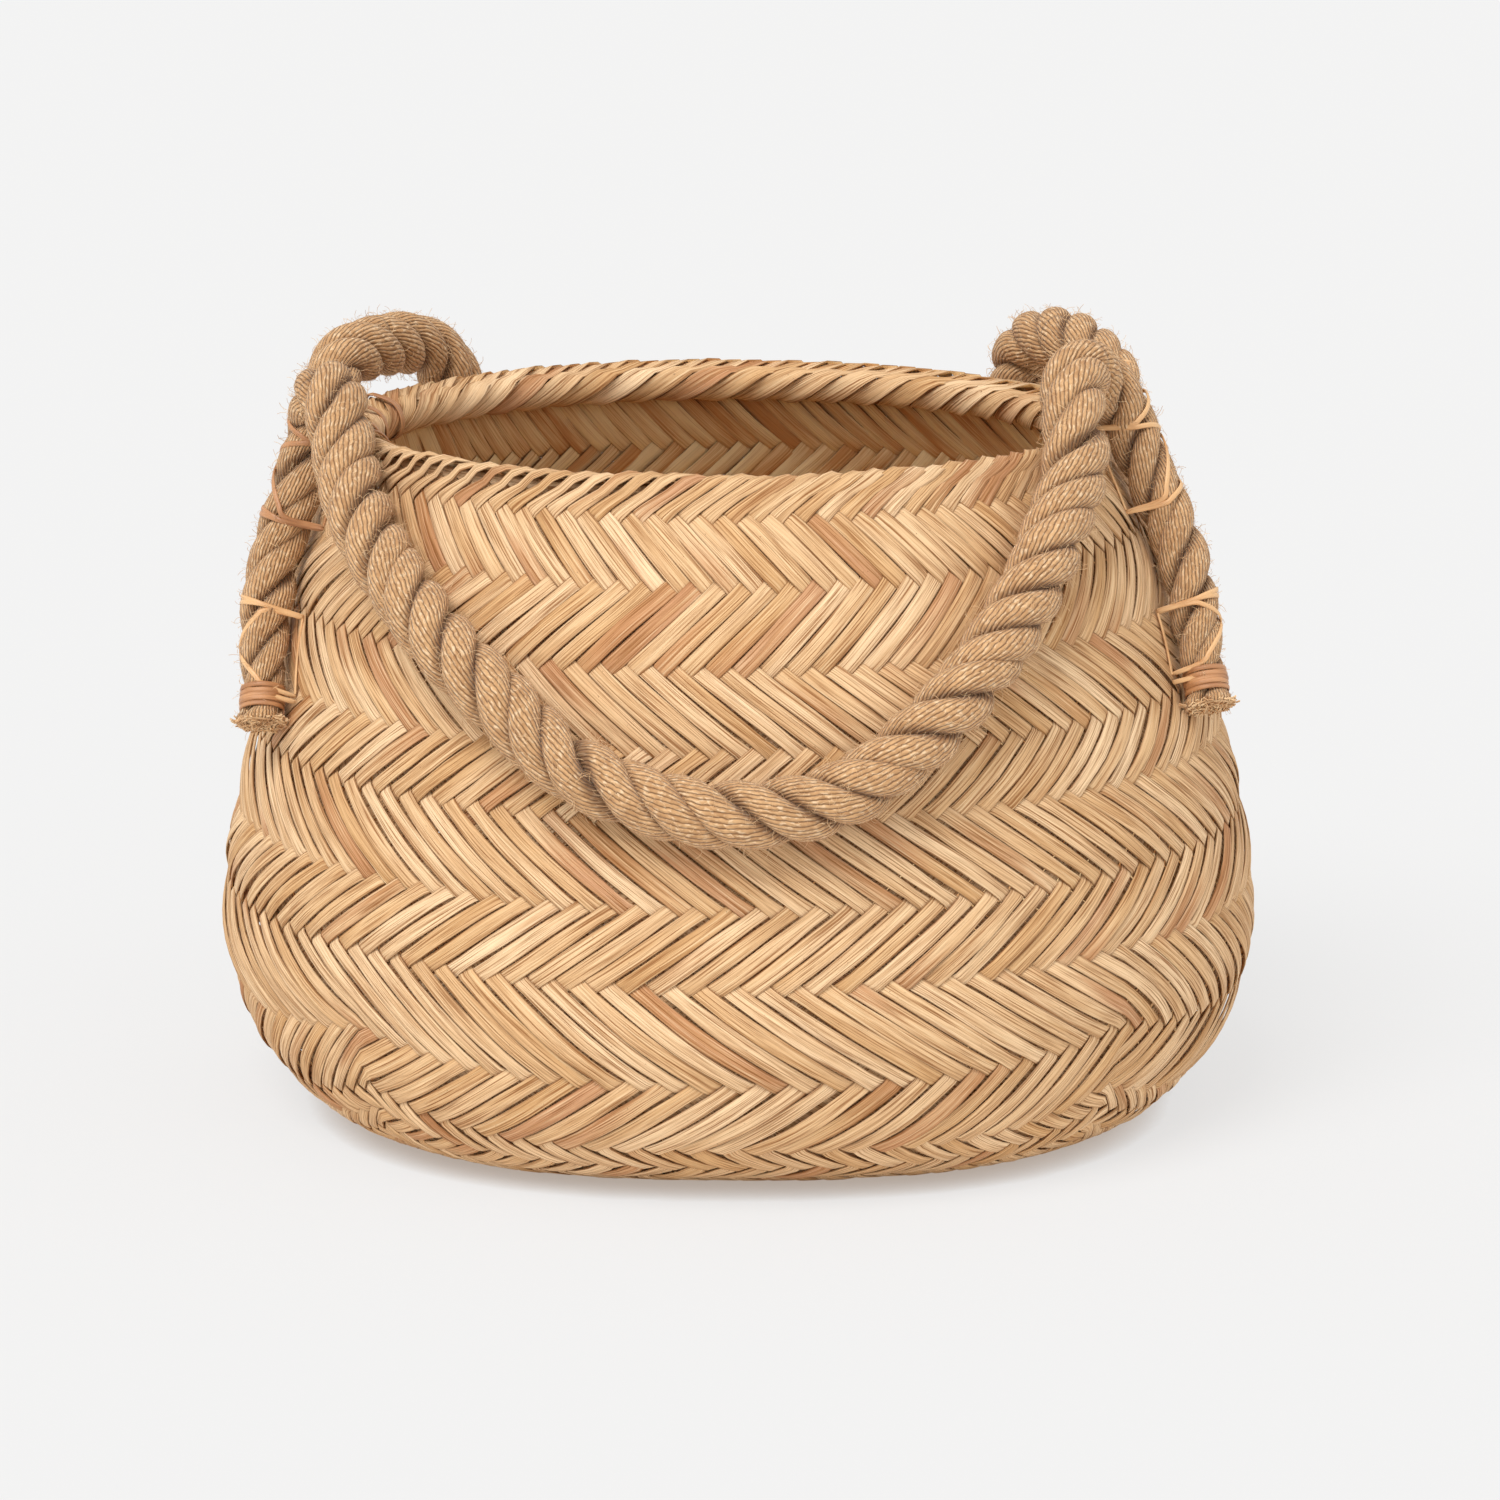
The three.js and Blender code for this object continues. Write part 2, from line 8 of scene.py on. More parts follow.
# %% Load the frame
import math
import bpy
import numpy as np
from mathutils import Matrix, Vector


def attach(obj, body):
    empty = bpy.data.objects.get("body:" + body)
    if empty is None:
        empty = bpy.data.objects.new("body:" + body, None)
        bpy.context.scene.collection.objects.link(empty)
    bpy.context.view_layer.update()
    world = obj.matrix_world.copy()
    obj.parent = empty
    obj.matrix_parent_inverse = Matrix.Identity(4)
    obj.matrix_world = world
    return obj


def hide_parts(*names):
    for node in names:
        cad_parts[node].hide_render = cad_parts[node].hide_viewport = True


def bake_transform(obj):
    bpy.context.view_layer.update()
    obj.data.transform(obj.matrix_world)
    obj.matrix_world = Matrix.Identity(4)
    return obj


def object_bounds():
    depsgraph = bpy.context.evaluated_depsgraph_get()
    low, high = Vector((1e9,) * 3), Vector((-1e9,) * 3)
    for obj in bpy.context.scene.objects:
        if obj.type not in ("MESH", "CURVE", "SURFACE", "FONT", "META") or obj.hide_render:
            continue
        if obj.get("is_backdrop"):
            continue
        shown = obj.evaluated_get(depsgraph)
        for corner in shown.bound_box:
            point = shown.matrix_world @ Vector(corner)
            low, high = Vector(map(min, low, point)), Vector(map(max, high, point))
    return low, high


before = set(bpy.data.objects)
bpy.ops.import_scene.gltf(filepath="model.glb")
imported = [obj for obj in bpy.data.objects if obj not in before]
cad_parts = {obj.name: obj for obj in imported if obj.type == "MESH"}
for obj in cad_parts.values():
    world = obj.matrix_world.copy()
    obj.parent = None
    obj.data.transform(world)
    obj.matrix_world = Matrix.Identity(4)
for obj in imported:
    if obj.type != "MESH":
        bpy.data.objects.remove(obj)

cad_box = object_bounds()
print("solid model, lowest and highest corner:", cad_box)

# %% [markdown]
# ## Where the camera stands
# The basket was seen from 2.4 m away through a long lens, 12.5 degrees above the
# table. A long lens keeps the mouth a flat, narrow ellipse. The small shift puts
# the basket a little left of and below the middle, as it was framed.

# %% Camera
MM = 0.001
VIEW_DISTANCE = 2.4
VIEW_ELEVATION = math.radians(12.5)
VIEW_HEIGHT = 0.145


def placed(name, data):
    """A new object around its data, linked into the scene."""
    thing = bpy.data.objects.new(name, data)
    bpy.context.scene.collection.objects.link(thing)
    return thing


camera_data = bpy.data.cameras.new("camera")
camera_data.lens = 137.7
camera_data.sensor_width = 36
camera_data.shift_x = 0.0073
camera_data.shift_y = -0.006
camera = placed("camera", camera_data)
camera.location = (
    0,
    -VIEW_DISTANCE * math.cos(VIEW_ELEVATION),
    VIEW_HEIGHT + VIEW_DISTANCE * math.sin(VIEW_ELEVATION),
)
camera.rotation_euler = (math.pi / 2 - VIEW_ELEVATION, 0, 0)
bpy.context.scene.camera = camera
print("camera at", tuple(round(v, 3) for v in camera.location))

# %% [markdown]
# ## The wall of the basket as a rule
# Everything is placed against one curve: how far the wall stands from the axis at
# each height. It is a full, squarish ellipse up to the widest ring, and a smooth
# curve through four rings above it. The neck leans a few millimetres to the left,
# the mouth is slightly oval and the foot slightly square, so a second function
# turns an angle, a radius and a height into a point.

# %% The wall curve, in millimetres
RIM_HEIGHT = 285.0
RIM_RADIUS = 152.5
BELLY_HEIGHT = 81.0
BELLY_RADIUS = 215.0
FOOT_RADIUS = 140.0
SHOULDER_HEIGHT = 214.0
FULLNESS = 2.2
NECK_LEAN = 7.0
LEAN_START = 0.59 * RIM_HEIGHT
MOUTH_OVAL = 0.02
FOOT_SQUARE = 0.08
rings = [
    (BELLY_HEIGHT, BELLY_RADIUS), (150.16, 202.91), (SHOULDER_HEIGHT, 184.0),
    (245.52, 169.825), (RIM_HEIGHT, RIM_RADIUS),
]
slopes = [0.0]
for below, above in zip(rings[:-2], rings[2:]):
    slopes.append((above[1] - below[1]) / (above[0] - below[0]))
slopes.append(0.6 * (rings[4][1] - rings[3][1]) / (rings[4][0] - rings[3][0]))


def eased(start, start_slope, end, end_slope, t):
    """A smooth curve from start to end as t goes from 0 to 1, with given slopes."""
    return (
        start * (2 * t**3 - 3 * t**2 + 1)
        + start_slope * (t**3 - 2 * t**2 + t)
        + end * (3 * t**2 - 2 * t**3)
        + end_slope * (t**3 - t**2)
    )


def wall_radius(height):
    """Distance of the wall's outer face from the axis, for an array of heights."""
    z = np.asarray(height, float)
    low = np.clip((BELLY_HEIGHT - z) / BELLY_HEIGHT, 0, 1)
    radius = FOOT_RADIUS + (BELLY_RADIUS - FOOT_RADIUS) * (1 - low**FULLNESS) ** (1 / FULLNESS)
    for i in range(4):
        (z0, r0), (z1, r1) = rings[i], rings[i + 1]
        span = z1 - z0
        t = np.clip((z - z0) / span, 0, 1)
        curve = eased(r0, slopes[i] * span, r1, slopes[i + 1] * span, t)
        radius = np.where((z > z0) & (z <= z1), curve, radius)
    return np.where(z > RIM_HEIGHT, RIM_RADIUS, radius)


def around(turn, radius, height):
    """Point at an angle, radius and height, with the lean, the oval and the square."""
    turn, radius, z = np.broadcast_arrays(turn, radius, np.asarray(height, float))
    lean = -NECK_LEAN * np.clip((z - LEAN_START) / (RIM_HEIGHT - LEAN_START), 0, 1)
    wide = MOUTH_OVAL * np.clip((z - SHOULDER_HEIGHT) / (RIM_HEIGHT - SHOULDER_HEIGHT), 0, 1)
    corner = np.clip(1 - z / (0.75 * BELLY_HEIGHT), 0, 1) ** 2
    radius = radius * (1 + FOOT_SQUARE * corner * (1 - np.cos(4 * turn)) / 2)
    x = lean + radius * (1 + wide) * np.cos(turn)
    y = radius * (1 - wide) * np.sin(turn)
    return np.stack([x, y, z], axis=-1)


print("wall radius at the foot, belly and rim:", wall_radius([0, 81, 285]).round(1))

# %% [markdown]
# ## The two rope handles
# A rope is drawn before anything else that touches it, because its length is real:
# it is a cord of fixed length that hangs under its own weight. Each handle is one
# length of rope. It starts low on one shoulder, runs up the wall, bends over the
# lip, hangs in a loop and climbs to the other side in the same way. The rows give
# that route: an angle round the basket, a height as a share of the rim's height,
# and how far the middle of the rope stands off the wall, in rope thicknesses. Near
# the cut ends the rope is bound thin, so there it is pulled a little closer.

# %% The routes of the ropes
front_route = [
    (200.2, 0.668, 0.54), (197.8, 0.725, 0.53), (196.1, 0.771, 0.54), (194.7, 0.818, 0.57),
    (194.0, 0.863, 0.57), (193.4, 0.912, 0.57), (192.6, 0.956, 0.57), (192.8, 0.998, 0.56),
    (194.2, 1.032, 0.53), (196.9, 1.053, 0.49), (200.6, 1.057, 0.49), (203.9, 1.043, 0.54),
    (206.3, 1.018, 0.6), (209.4, 0.985, 0.65), (213.0, 0.948, 0.66), (224.0, 0.864, 0.66),
    (235.2, 0.774, 0.64), (243.8, 0.706, 0.62), (251.0, 0.638, 0.61), (259.7, 0.592, 0.6),
    (270.0, 0.575, 0.6), (280.6, 0.596, 0.6), (289.8, 0.663, 0.61), (298.6, 0.744, 0.63),
    (308.2, 0.836, 0.66), (315.6, 0.909, 0.67), (321.5, 0.955, 0.66), (325.3, 0.99, 0.6),
    (327.9, 1.023, 0.44), (331.1, 1.053, 0.19), (335.4, 1.078, 0.01), (341.1, 1.085, -0.02),
    (345.9, 1.062, 0.15), (348.1, 1.026, 0.42), (348.4, 0.99, 0.56), (347.8, 0.954, 0.57),
    (347.1, 0.911, 0.56), (346.4, 0.87, 0.56), (344.9, 0.826, 0.57), (343.1, 0.787, 0.56),
    (341.8, 0.753, 0.54), (339.5, 0.693, 0.54),
]
back_route = [
    (159.8, 0.668, 0.54), (162.2, 0.725, 0.53), (163.9, 0.771, 0.54), (165.3, 0.818, 0.57),
    (166.0, 0.863, 0.57), (166.6, 0.912, 0.57), (167.4, 0.956, 0.57), (166.8, 0.998, 0.57),
    (164.6, 1.029, 0.55), (160.4, 1.047, 0.52), (154.4, 1.052, 0.49), (147.2, 1.051, 0.54),
    (141.1, 1.043, 0.64), (136.5, 1.025, 0.7), (134.0, 1.0, 0.71), (132.2, 0.967, 0.69),
    (129.0, 0.91, 0.67), (123.5, 0.82, 0.67), (117.0, 0.7, 0.63), (109.5, 0.58, 0.6),
    (100.5, 0.475, 0.6), (90.0, 0.435, 0.6), (79.5, 0.475, 0.6), (70.5, 0.58, 0.6),
    (62.0, 0.7, 0.63), (53.5, 0.82, 0.67), (46.5, 0.91, 0.68), (43.4, 0.967, 0.67),
    (41.8, 1.005, 0.65), (39.9, 1.032, 0.6), (36.4, 1.051, 0.51), (31.4, 1.061, 0.42),
    (25.5, 1.062, 0.38), (19.6, 1.051, 0.42), (14.8, 1.027, 0.52), (12.7, 0.99, 0.57),
    (12.5, 0.954, 0.57), (12.9, 0.911, 0.56), (13.6, 0.87, 0.56), (15.1, 0.826, 0.57),
    (16.9, 0.787, 0.56), (18.2, 0.753, 0.54), (20.5, 0.693, 0.54),
]
ROPE_DIAMETER = 25.0
ROPE_STEP = 1.6
CUT_LENGTH = 24.0
CUT_PULL = 3.4
CUT_REACH = 50


def unit(v):
    """Vectors brought to length 1."""
    return v / np.maximum(np.linalg.norm(v, axis=-1, keepdims=True), 1e-9)


def added_up(steps):
    """Running total of steps, from 0."""
    return np.concatenate([[0], np.cumsum(steps)])


def run_along(line):
    """How far each point of a line lies along it."""
    return added_up(np.linalg.norm(np.diff(line, axis=0), axis=1))


def rows_at(places, marks, rows):
    """Rows of numbers that belong to marks, read off at other places."""
    return np.stack([np.interp(places, marks, column) for column in rows.T], axis=-1)


def nearest_marks(line, marks, points):
    """The mark on a line that lies nearest to each point."""
    return [marks[np.argmin(np.linalg.norm(line - p, axis=1))] for p in points]


def through(points, step):
    """A smooth curve through points, as points one step apart, and their marks."""
    ends = [2 * points[0] - points[1], *points, 2 * points[-1] - points[-2]]
    t = np.linspace(0, 1, 24, endpoint=False)[:, None]
    line = []
    for p0, p1, p2, p3 in zip(ends, ends[1:], ends[2:], ends[3:]):
        d0, d1, d2 = (math.sqrt(np.linalg.norm(b - a)) for a, b in ((p0, p1), (p1, p2), (p2, p3)))
        m1 = d1 * ((p1 - p0) / d0 - (p2 - p0) / (d0 + d1) + (p2 - p1) / d1)
        m2 = d1 * ((p2 - p1) / d1 - (p3 - p1) / (d1 + d2) + (p3 - p2) / d2)
        line.append(eased(p1, m1, p2, m2, t))
    line = np.vstack([*line, points[-1][None]])
    run = run_along(line)
    marks = np.linspace(0, run[-1], max(3, round(run[-1] / step) + 1))
    return rows_at(marks, run, line), marks


def rope_line(route):
    """Points along the middle of a rope, their marks, and the marks of the route's rows."""
    degrees, share, away = np.array(route).T
    height = share * RIM_HEIGHT
    radius = wall_radius(height) + away * ROPE_DIAMETER
    points = around(np.radians(degrees), radius, height)
    first = points[0] + CUT_LENGTH * unit(points[0] - points[1])
    last = points[-1] + CUT_LENGTH * unit(points[-1] - points[-2])
    line, marks = through(np.vstack([first, points, last]), ROPE_STEP)
    knots = nearest_marks(line, marks, points)
    from_cut = np.minimum(marks, marks[-1] - marks)
    pulled = CUT_PULL * np.clip(1 - from_cut / CUT_REACH, 0, 1)
    line[:, :2] -= pulled[:, None] * unit(line[:, :2])
    return line, marks, knots


ropes = {"front": rope_line(front_route), "back": rope_line(back_route)}
for name, (line, marks, knots) in ropes.items():
    print(name, "rope:", round(marks[-1]), "mm long")

# %% [markdown]
# ## Small helpers
# A piece is a mesh made from arrays of corners and faces. Values that a material
# needs later, such as how far along a strip a corner lies, are stored on the mesh
# as attributes. Frames along a line tell which way is sideways at every point: the
# frame is carried along the line with as little turning as possible.

# %% Helpers for meshes and frames


def new_piece(name, corners, faces, corner_values=None):
    """A smooth mesh object in metres from corners in millimetres."""
    mesh = bpy.data.meshes.new(name)
    mesh.from_pydata((np.asarray(corners) * MM).tolist(), [], [list(f) for f in faces])
    for key, values in (corner_values or {}).items():
        values = np.asarray(values, np.float32)
        kind, field = ("FLOAT_VECTOR", "vector") if values.ndim == 2 else ("FLOAT", "value")
        layer = mesh.attributes.new(key, kind, "POINT")
        layer.data.foreach_set(field, values.ravel())
    mesh.shade_smooth()
    mesh.update()
    return placed(name, mesh)


def carried_frames(line, first_side):
    """Tangents and two sideways directions along a line."""
    tangent = unit(np.gradient(line, axis=0))
    side = np.empty_like(line)
    current = np.asarray(first_side, float)
    for i, t in enumerate(tangent):
        current = current - t * current.dot(t)
        current /= np.linalg.norm(current)
        side[i] = current
    return tangent, side, np.cross(tangent, side)


def tube_faces(ring_count, corner_count, start=0):
    """Faces of a tube of rings, closed with one face at each end."""
    i = np.arange(ring_count - 1)[:, None] * corner_count
    j = np.arange(corner_count)[None, :]
    k = (j + 1) % corner_count
    quads = np.stack([i + j, i + k, i + corner_count + k, i + corner_count + j], axis=-1)
    first = start + np.arange(corner_count)
    last = first + (ring_count - 1) * corner_count
    return [*(quads.reshape(-1, 4) + start).tolist(), first[::-1].tolist(), last.tolist()]


print("helpers ready")

# %% [markdown]
# ## Laying three strands into a rope
# Handle rope like this has three strands, laid together to the right, one full turn
# in about 60 mm. Each strand is a fat tube that winds round the middle line. The
# strands press on each other, so their section is a little wider than deep. The
# yarns in a strand are twisted the other way, which brings them nearly in line with
# the rope. They are too fine to model, so each face carries a map that counts yarns
# round the strand, and the material draws them from it. Each corner also keeps how
# far from the rope's middle it lies, so the material can paint shade into the deep
# grooves.
# No strand is quite even: its turns wander a little, and it swells and thins.
#
# The rope is cut in three where it can bend: an end that is laced to the wall, the
# loop, and the other end. The pieces share the same ring of corners at each cut, at
# the top of each bend, so the cut doesn't show.

# %% Strands
LAY_LENGTH = 59.0
STRAND_REACH = 6.2
STRAND_PLACE, STRAND_DEPTH, STRAND_WIDTH = 0.5, 0.5, 0.62
STRAND_CORNERS = 28
YARNS = 26
YARN_TWIST = 0.0205
LOOP_GIRTH = 27.0
END_GIRTH = 21.8
WHIPPED_GIRTH = 16.8
SLACKENING = 60.0
# Millimetres from the cut and thickness there: frayed tip, whipping, first lacing.
cut_girths = [
    (0, 20.6), (1.2, 21.8), (3, 21.0), (4.8, 18.0), (5.6, 16.8), (15, 16.8), (19, 17.8),
    (32, 20.0), (58, 21.8),
]


def girth_along(marks, knots):
    """Rope thickness along its length: it is thinner where lacing pulls it tight."""
    free = np.clip(np.minimum(marks - knots[6], knots[-7] - marks) / SLACKENING, 0, 1)
    girth = END_GIRTH + (LOOP_GIRTH - END_GIRTH) * free * free * (3 - 2 * free)
    from_cut = np.minimum(marks, marks[-1] - marks)
    places, sizes = np.array(cut_girths).T
    return np.where(from_cut < places[-1], np.interp(from_cut, places, sizes), girth)


def rope_piece(name, line, marks, girth, frames, first, last):
    """Three strands of the rope between two of its rings, closed at both ends."""
    part = slice(first, last + 1)
    tangent, side, other = (f[part] for f in frames)
    middle, run, size = line[part], marks[part], girth[part] / 2
    count = len(run)
    path = run * math.hypot(1, 2 * math.pi * STRAND_REACH / LAY_LENGTH)
    i, j = np.meshgrid(np.arange(count - 1), np.arange(STRAND_CORNERS), indexing="ij")
    travelled = path[i[..., None] + [0, 0, 1, 1]]
    yarn = YARNS * ((j[..., None] + [0, 1, 1, 0]) / STRAND_CORNERS + YARN_TWIST * travelled)
    angle = 2 * math.pi * np.arange(STRAND_CORNERS) / STRAND_CORNERS
    radial = STRAND_DEPTH * np.cos(angle)
    tangential = STRAND_WIDTH * np.sin(angle)
    corners, faces, yarn_map = [], [], []
    for strand in range(3):
        turn = 2 * math.pi * (run / LAY_LENGTH + strand / 3) + 0.3 * np.sin(run / 47 + strand)
        out = side * np.cos(turn)[:, None] + other * np.sin(turn)[:, None]
        across = np.cross(tangent, out)
        swell = 1 + 0.045 * np.sin(run / 23 + 2.1 * strand) + 0.025 * np.sin(run / 7.7 + strand)
        ring = (
            (middle + (size * STRAND_PLACE)[:, None] * out)[:, None]
            + (size * swell * radial[:, None]).T[..., None] * out[:, None]
            + (size * swell * tangential[:, None]).T[..., None] * across[:, None]
        )
        corners.append(ring.reshape(-1, 3))
        faces += tube_faces(count, STRAND_CORNERS, strand * count * STRAND_CORNERS)
        places = np.stack([yarn, travelled * 0.1 + 40 * strand], axis=-1)
        yarn_map += [places.reshape(-1, 2), np.zeros((2 * STRAND_CORNERS, 2))]
    # How far each corner lies from the rope's middle; the jute material paints shade into the grooves
    # between strands from it.
    depth = np.hypot(STRAND_PLACE + radial, tangential)
    piece = new_piece(name, np.vstack(corners), faces, {"depth": np.tile(depth, 3 * count)})
    layer = piece.data.uv_layers.new(name="yarns")
    layer.data.foreach_set("uv", np.vstack(yarn_map).astype(np.float32).ravel())
    return piece


def top_of_bend(line, marks, knots, rows):
    """The highest ring between two rows of the route."""
    first, last = (int(np.argmin(abs(marks - knots[row]))) for row in rows)
    return first + int(np.argmax(line[first : last + 1, 2]))


# Rows of each route between which its left and its right bend reach their top.
bends = {"front": ((7, 12), (28, 34)), "back": ((7, 14), (28, 35))}
rope_parts = {}
for name, (line, marks, knots) in ropes.items():
    frames = carried_frames(line, (1, 0, 0))
    girth = girth_along(marks, knots)
    left_top, right_top = (top_of_bend(line, marks, knots, rows) for rows in bends[name])
    parts = {"cuts": (left_top, right_top), "girth": girth}
    cuts = {"left": (0, left_top), "loop": (left_top, right_top), "right": (right_top, len(line) - 1)}
    for key, cut in cuts.items():
        parts[key] = rope_piece(f"{name}_{key}_rope", line, marks, girth, frames, *cut)
        print(parts[key].name, len(parts[key].data.vertices), "corners")
    rope_parts[name] = parts

# %% [markdown]
# ## Putting node trees together
# The light, the finishes and everything that repeats thousands of times are node
# trees. One small class adds a node, sets it up and joins its sockets in one line,
# so a tree further down reads like the list of its steps.

# %% Helpers for node trees


def linear(red, green, blue):
    """A colour as seen on a screen, 0 to 255, as the shader wants it."""
    return tuple(((v / 255 + 0.055) / 1.055) ** 2.4 for v in (red, green, blue)) + (1,)


class Tree:
    """A node tree in the making. A socket takes a plain value or a node's output."""

    def __init__(self, tree):
        self.nodes = tree.nodes
        self.links = tree.links

    def join(self, node, sockets):
        """Sets or links some inputs of a node."""
        for key, value in sockets.items():
            if isinstance(value, bpy.types.NodeSocket):
                self.links.new(value, node.inputs[key])
            else:
                node.inputs[key].default_value = value

    def add(self, kind, sockets, gives=0, **settings):
        """A new node, of which one output is given back."""
        node = self.nodes.new(kind)
        for setting, value in settings.items():
            setattr(node, setting, value)
        self.join(node, sockets)
        return node.outputs[gives]

    def end(self, kind, result):
        """The node that takes the result of the tree."""
        self.join(self.nodes.new(kind), {0: result})

    def maths(self, operation, first, second=0.0):
        """One step of arithmetic between plain numbers or outputs."""
        return self.add("ShaderNodeMath", {0: first, 1: second}, operation=operation)

    def times(self, first, second):
        return self.maths("MULTIPLY", first, second)

    def plus(self, first, second):
        return self.maths("ADD", first, second)

    def triple(self, x, y, z):
        return self.add("ShaderNodeCombineXYZ", {0: x, 1: y, 2: z})

    def read(self, name):
        """A number stored on the mesh, for a material."""
        return self.add("ShaderNodeAttribute", {}, "Fac", attribute_name=name)

    def grain(self, across, along, fine, short, layer, detail, scale=1.0):
        """Noise drawn out along a strand: how fine across it and how short along it."""
        place = self.triple(self.times(across, fine), self.times(along, short), layer)
        sockets = {"Vector": place, "Scale": scale, "Detail": detail}
        return self.add("ShaderNodeTexNoise", sockets, "Fac")

    def between(self, value, low, high, weak=0.0, strong=1.0):
        """Goes from weak to strong while a value goes from low to high."""
        return self.add("ShaderNodeMapRange", {
            "Value": value, "From Min": low, "From Max": high, "To Min": weak, "To Max": strong,
        }, "Result")

    def blend(self, factor, first, second):
        """A colour between two others."""
        sockets = {"Factor": factor, "A": first, "B": second}
        return self.add("ShaderNodeMix", sockets, "Result", data_type="RGBA")

    def coats(self, colour, rows):
        """Colours laid over each other: (value, low, high, weak, strong, colour) each."""
        for value, low, high, weak, strong, cover in rows:
            colour = self.blend(self.between(value, low, high, weak, strong), colour, linear(*cover))
        return colour

    def bump(self, height, distance, strength):
        sockets = {"Height": height, "Distance": distance, "Strength": strength}
        return self.add("ShaderNodeBump", sockets, "Normal")

    def end_seen(self, kind, unseen, seen):
        """Ends with one shader for bounced light, and one for rays that show a picture:
        those from the camera, and those that gloss or glass sends on."""
        rays = self.nodes.new("ShaderNodeLightPath").outputs
        picture = self.maths("MAXIMUM", rays["Is Camera Ray"], rays["Is Glossy Ray"])
        picture = self.maths("MAXIMUM", picture, rays["Is Transmission Ray"])
        self.end(kind, self.add("ShaderNodeMixShader", {0: picture, 1: unseen, 2: seen}))

    def stored(self, name, kind="FLOAT"):
        """A value stored on the mesh, for a geometry tree."""
        return self.add("GeometryNodeInputNamedAttribute", {"Name": name}, "Attribute", data_type=kind)

    def store(self, geometry, name, value):
        """Stores a number on the mesh, so that materials can read it."""
        sockets = {"Geometry": geometry, "Name": name, "Value": value}
        return self.add("GeometryNodeStoreNamedAttribute", sockets, data_type="FLOAT", domain="POINT")

    def chance(self, sockets, kind="FLOAT"):
        """A random number, or three, for each element or ID."""
        return self.add("FunctionNodeRandomValue", sockets, "Value", data_type=kind)


def emptied(owner):
    """The emptied node tree of a world or a material."""
    owner.use_nodes = True
    owner.node_tree.nodes.clear()
    return Tree(owner.node_tree)


def new_material(name):
    """A material, its tree, and the shader whose sockets are still to be joined."""
    material = bpy.data.materials.new(name)
    tree = emptied(material)
    surface = tree.add("ShaderNodeBsdfPrincipled", {})
    tree.end("ShaderNodeOutputMaterial", surface)
    return material, tree, surface.node


def new_tree(name, inputs):
    """A geometry tree with named inputs, the Tree that builds it, and those inputs."""
    group = bpy.data.node_groups.new(name, "GeometryNodeTree")
    for label, kind, value in [("Geometry", "Geometry", None), *inputs]:
        socket = group.interface.new_socket(label, in_out="INPUT", socket_type="NodeSocket" + kind)
        if value is not None:
            socket.default_value = value
    group.interface.new_socket("Geometry", in_out="OUTPUT", socket_type="NodeSocketGeometry")
    group.is_modifier = True
    tree = Tree(group)
    return group, tree, tree.nodes.new("NodeGroupInput").outputs


def finish_tree(tree, geometry, material):
    """Every geometry tree ends by making instances real and setting the material."""
    real = tree.add("GeometryNodeRealizeInstances", {"Geometry": geometry})
    tree.end("NodeGroupOutput", tree.add(
        "GeometryNodeSetMaterial", {"Geometry": real, "Material": material}))


def run_tree(piece, group, **values):
    """Runs a tree on a piece and keeps the result as the piece's plain mesh."""
    modifier = piece.modifiers.new("tree", "NODES")
    modifier.node_group = group
    for item in group.interface.items_tree:
        if item.item_type == "SOCKET" and item.in_out == "INPUT":
            label = item.name.lower().replace(" ", "_")
            if label in values:
                modifier[item.identifier] = values[label]
    graph = bpy.context.evaluated_depsgraph_get()
    mesh = bpy.data.meshes.new_from_object(piece.evaluated_get(graph), depsgraph=graph)
    piece.modifiers.clear()
    piece.data = mesh
    mesh.name = piece.name
    print(piece.name, len(mesh.polygons), "faces")
    return piece


print("tree helpers ready")

# %% [markdown]
# ## Floor, light and backdrop
# A plain pale floor catches the shadow. Two very soft suns light the basket, the
# stronger one from the upper left, and a pale sky fills the shadows. A sun lights
# an endless floor evenly. What is seen of the floor is mostly an even glow, as pale
# as the backdrop, so the two meet without a visible line. Where something stands
# close above it the glow is dimmed and tinted warm brown, a painted contact shadow.
# Light that bounces meets a plain pale floor.

# %% Floor and light
BACKDROP = 0.896
FLOOR_REACH = 9e3


def sun(name, azimuth, elevation, strength, softness):
    """A sun lamp from a direction in degrees; softness is its width in degrees."""
    lamp = bpy.data.lights.new(name, "SUN")
    lamp.energy = strength
    lamp.angle = math.radians(softness)
    turned = (math.radians(90 - elevation), 0, math.radians(azimuth))
    placed(name, lamp).rotation_euler = turned


sun("key_light", -32, 52, 2.25, 36)
sun("fill_light", 42, 34, 0.5, 90)

world = bpy.data.worlds.new("studio")
bpy.context.scene.world = world
tree = emptied(world)
sky = tree.add("ShaderNodeBackground", {"Color": (1, 0.985, 0.965, 1), "Strength": 0.64})
backdrop = tree.add("ShaderNodeBackground", {"Color": (BACKDROP, BACKDROP, BACKDROP, 1), "Strength": 1})
tree.end_seen("ShaderNodeOutputWorld", sky, backdrop)

floor_corners = [(x * FLOOR_REACH, y * FLOOR_REACH, 0) for x, y in ((-1, -1), (1, -1), (1, 1), (-1, 1))]
floor = new_piece("floor", floor_corners, [(0, 1, 2, 3)])
floor.location.z = -0.0002
floor_finish = bpy.data.materials.new("floor_finish")
tree = emptied(floor_finish)
# Painted contact shadow: the floor's glow is darkened and tinted warm brown where the basket stands
# close above it.
closeness = tree.add("ShaderNodeAmbientOcclusion", {"Distance": 0.01}, "AO", samples=24)
tint = tree.blend(tree.between(closeness, 0, 1, 0.35, 1), (0.42, 0.26, 0.14, 1), (1, 1, 1, 1))
glow = tree.add("ShaderNodeEmission", {"Color": tint, "Strength": 0.68})
matt = tree.add("ShaderNodeBsdfDiffuse", {"Color": (0.17, 0.17, 0.17, 1)})
both = tree.add("ShaderNodeAddShader", {0: matt, 1: glow})
bounce = tree.add("ShaderNodeBsdfDiffuse", {"Color": (0.92, 0.92, 0.91, 1)})
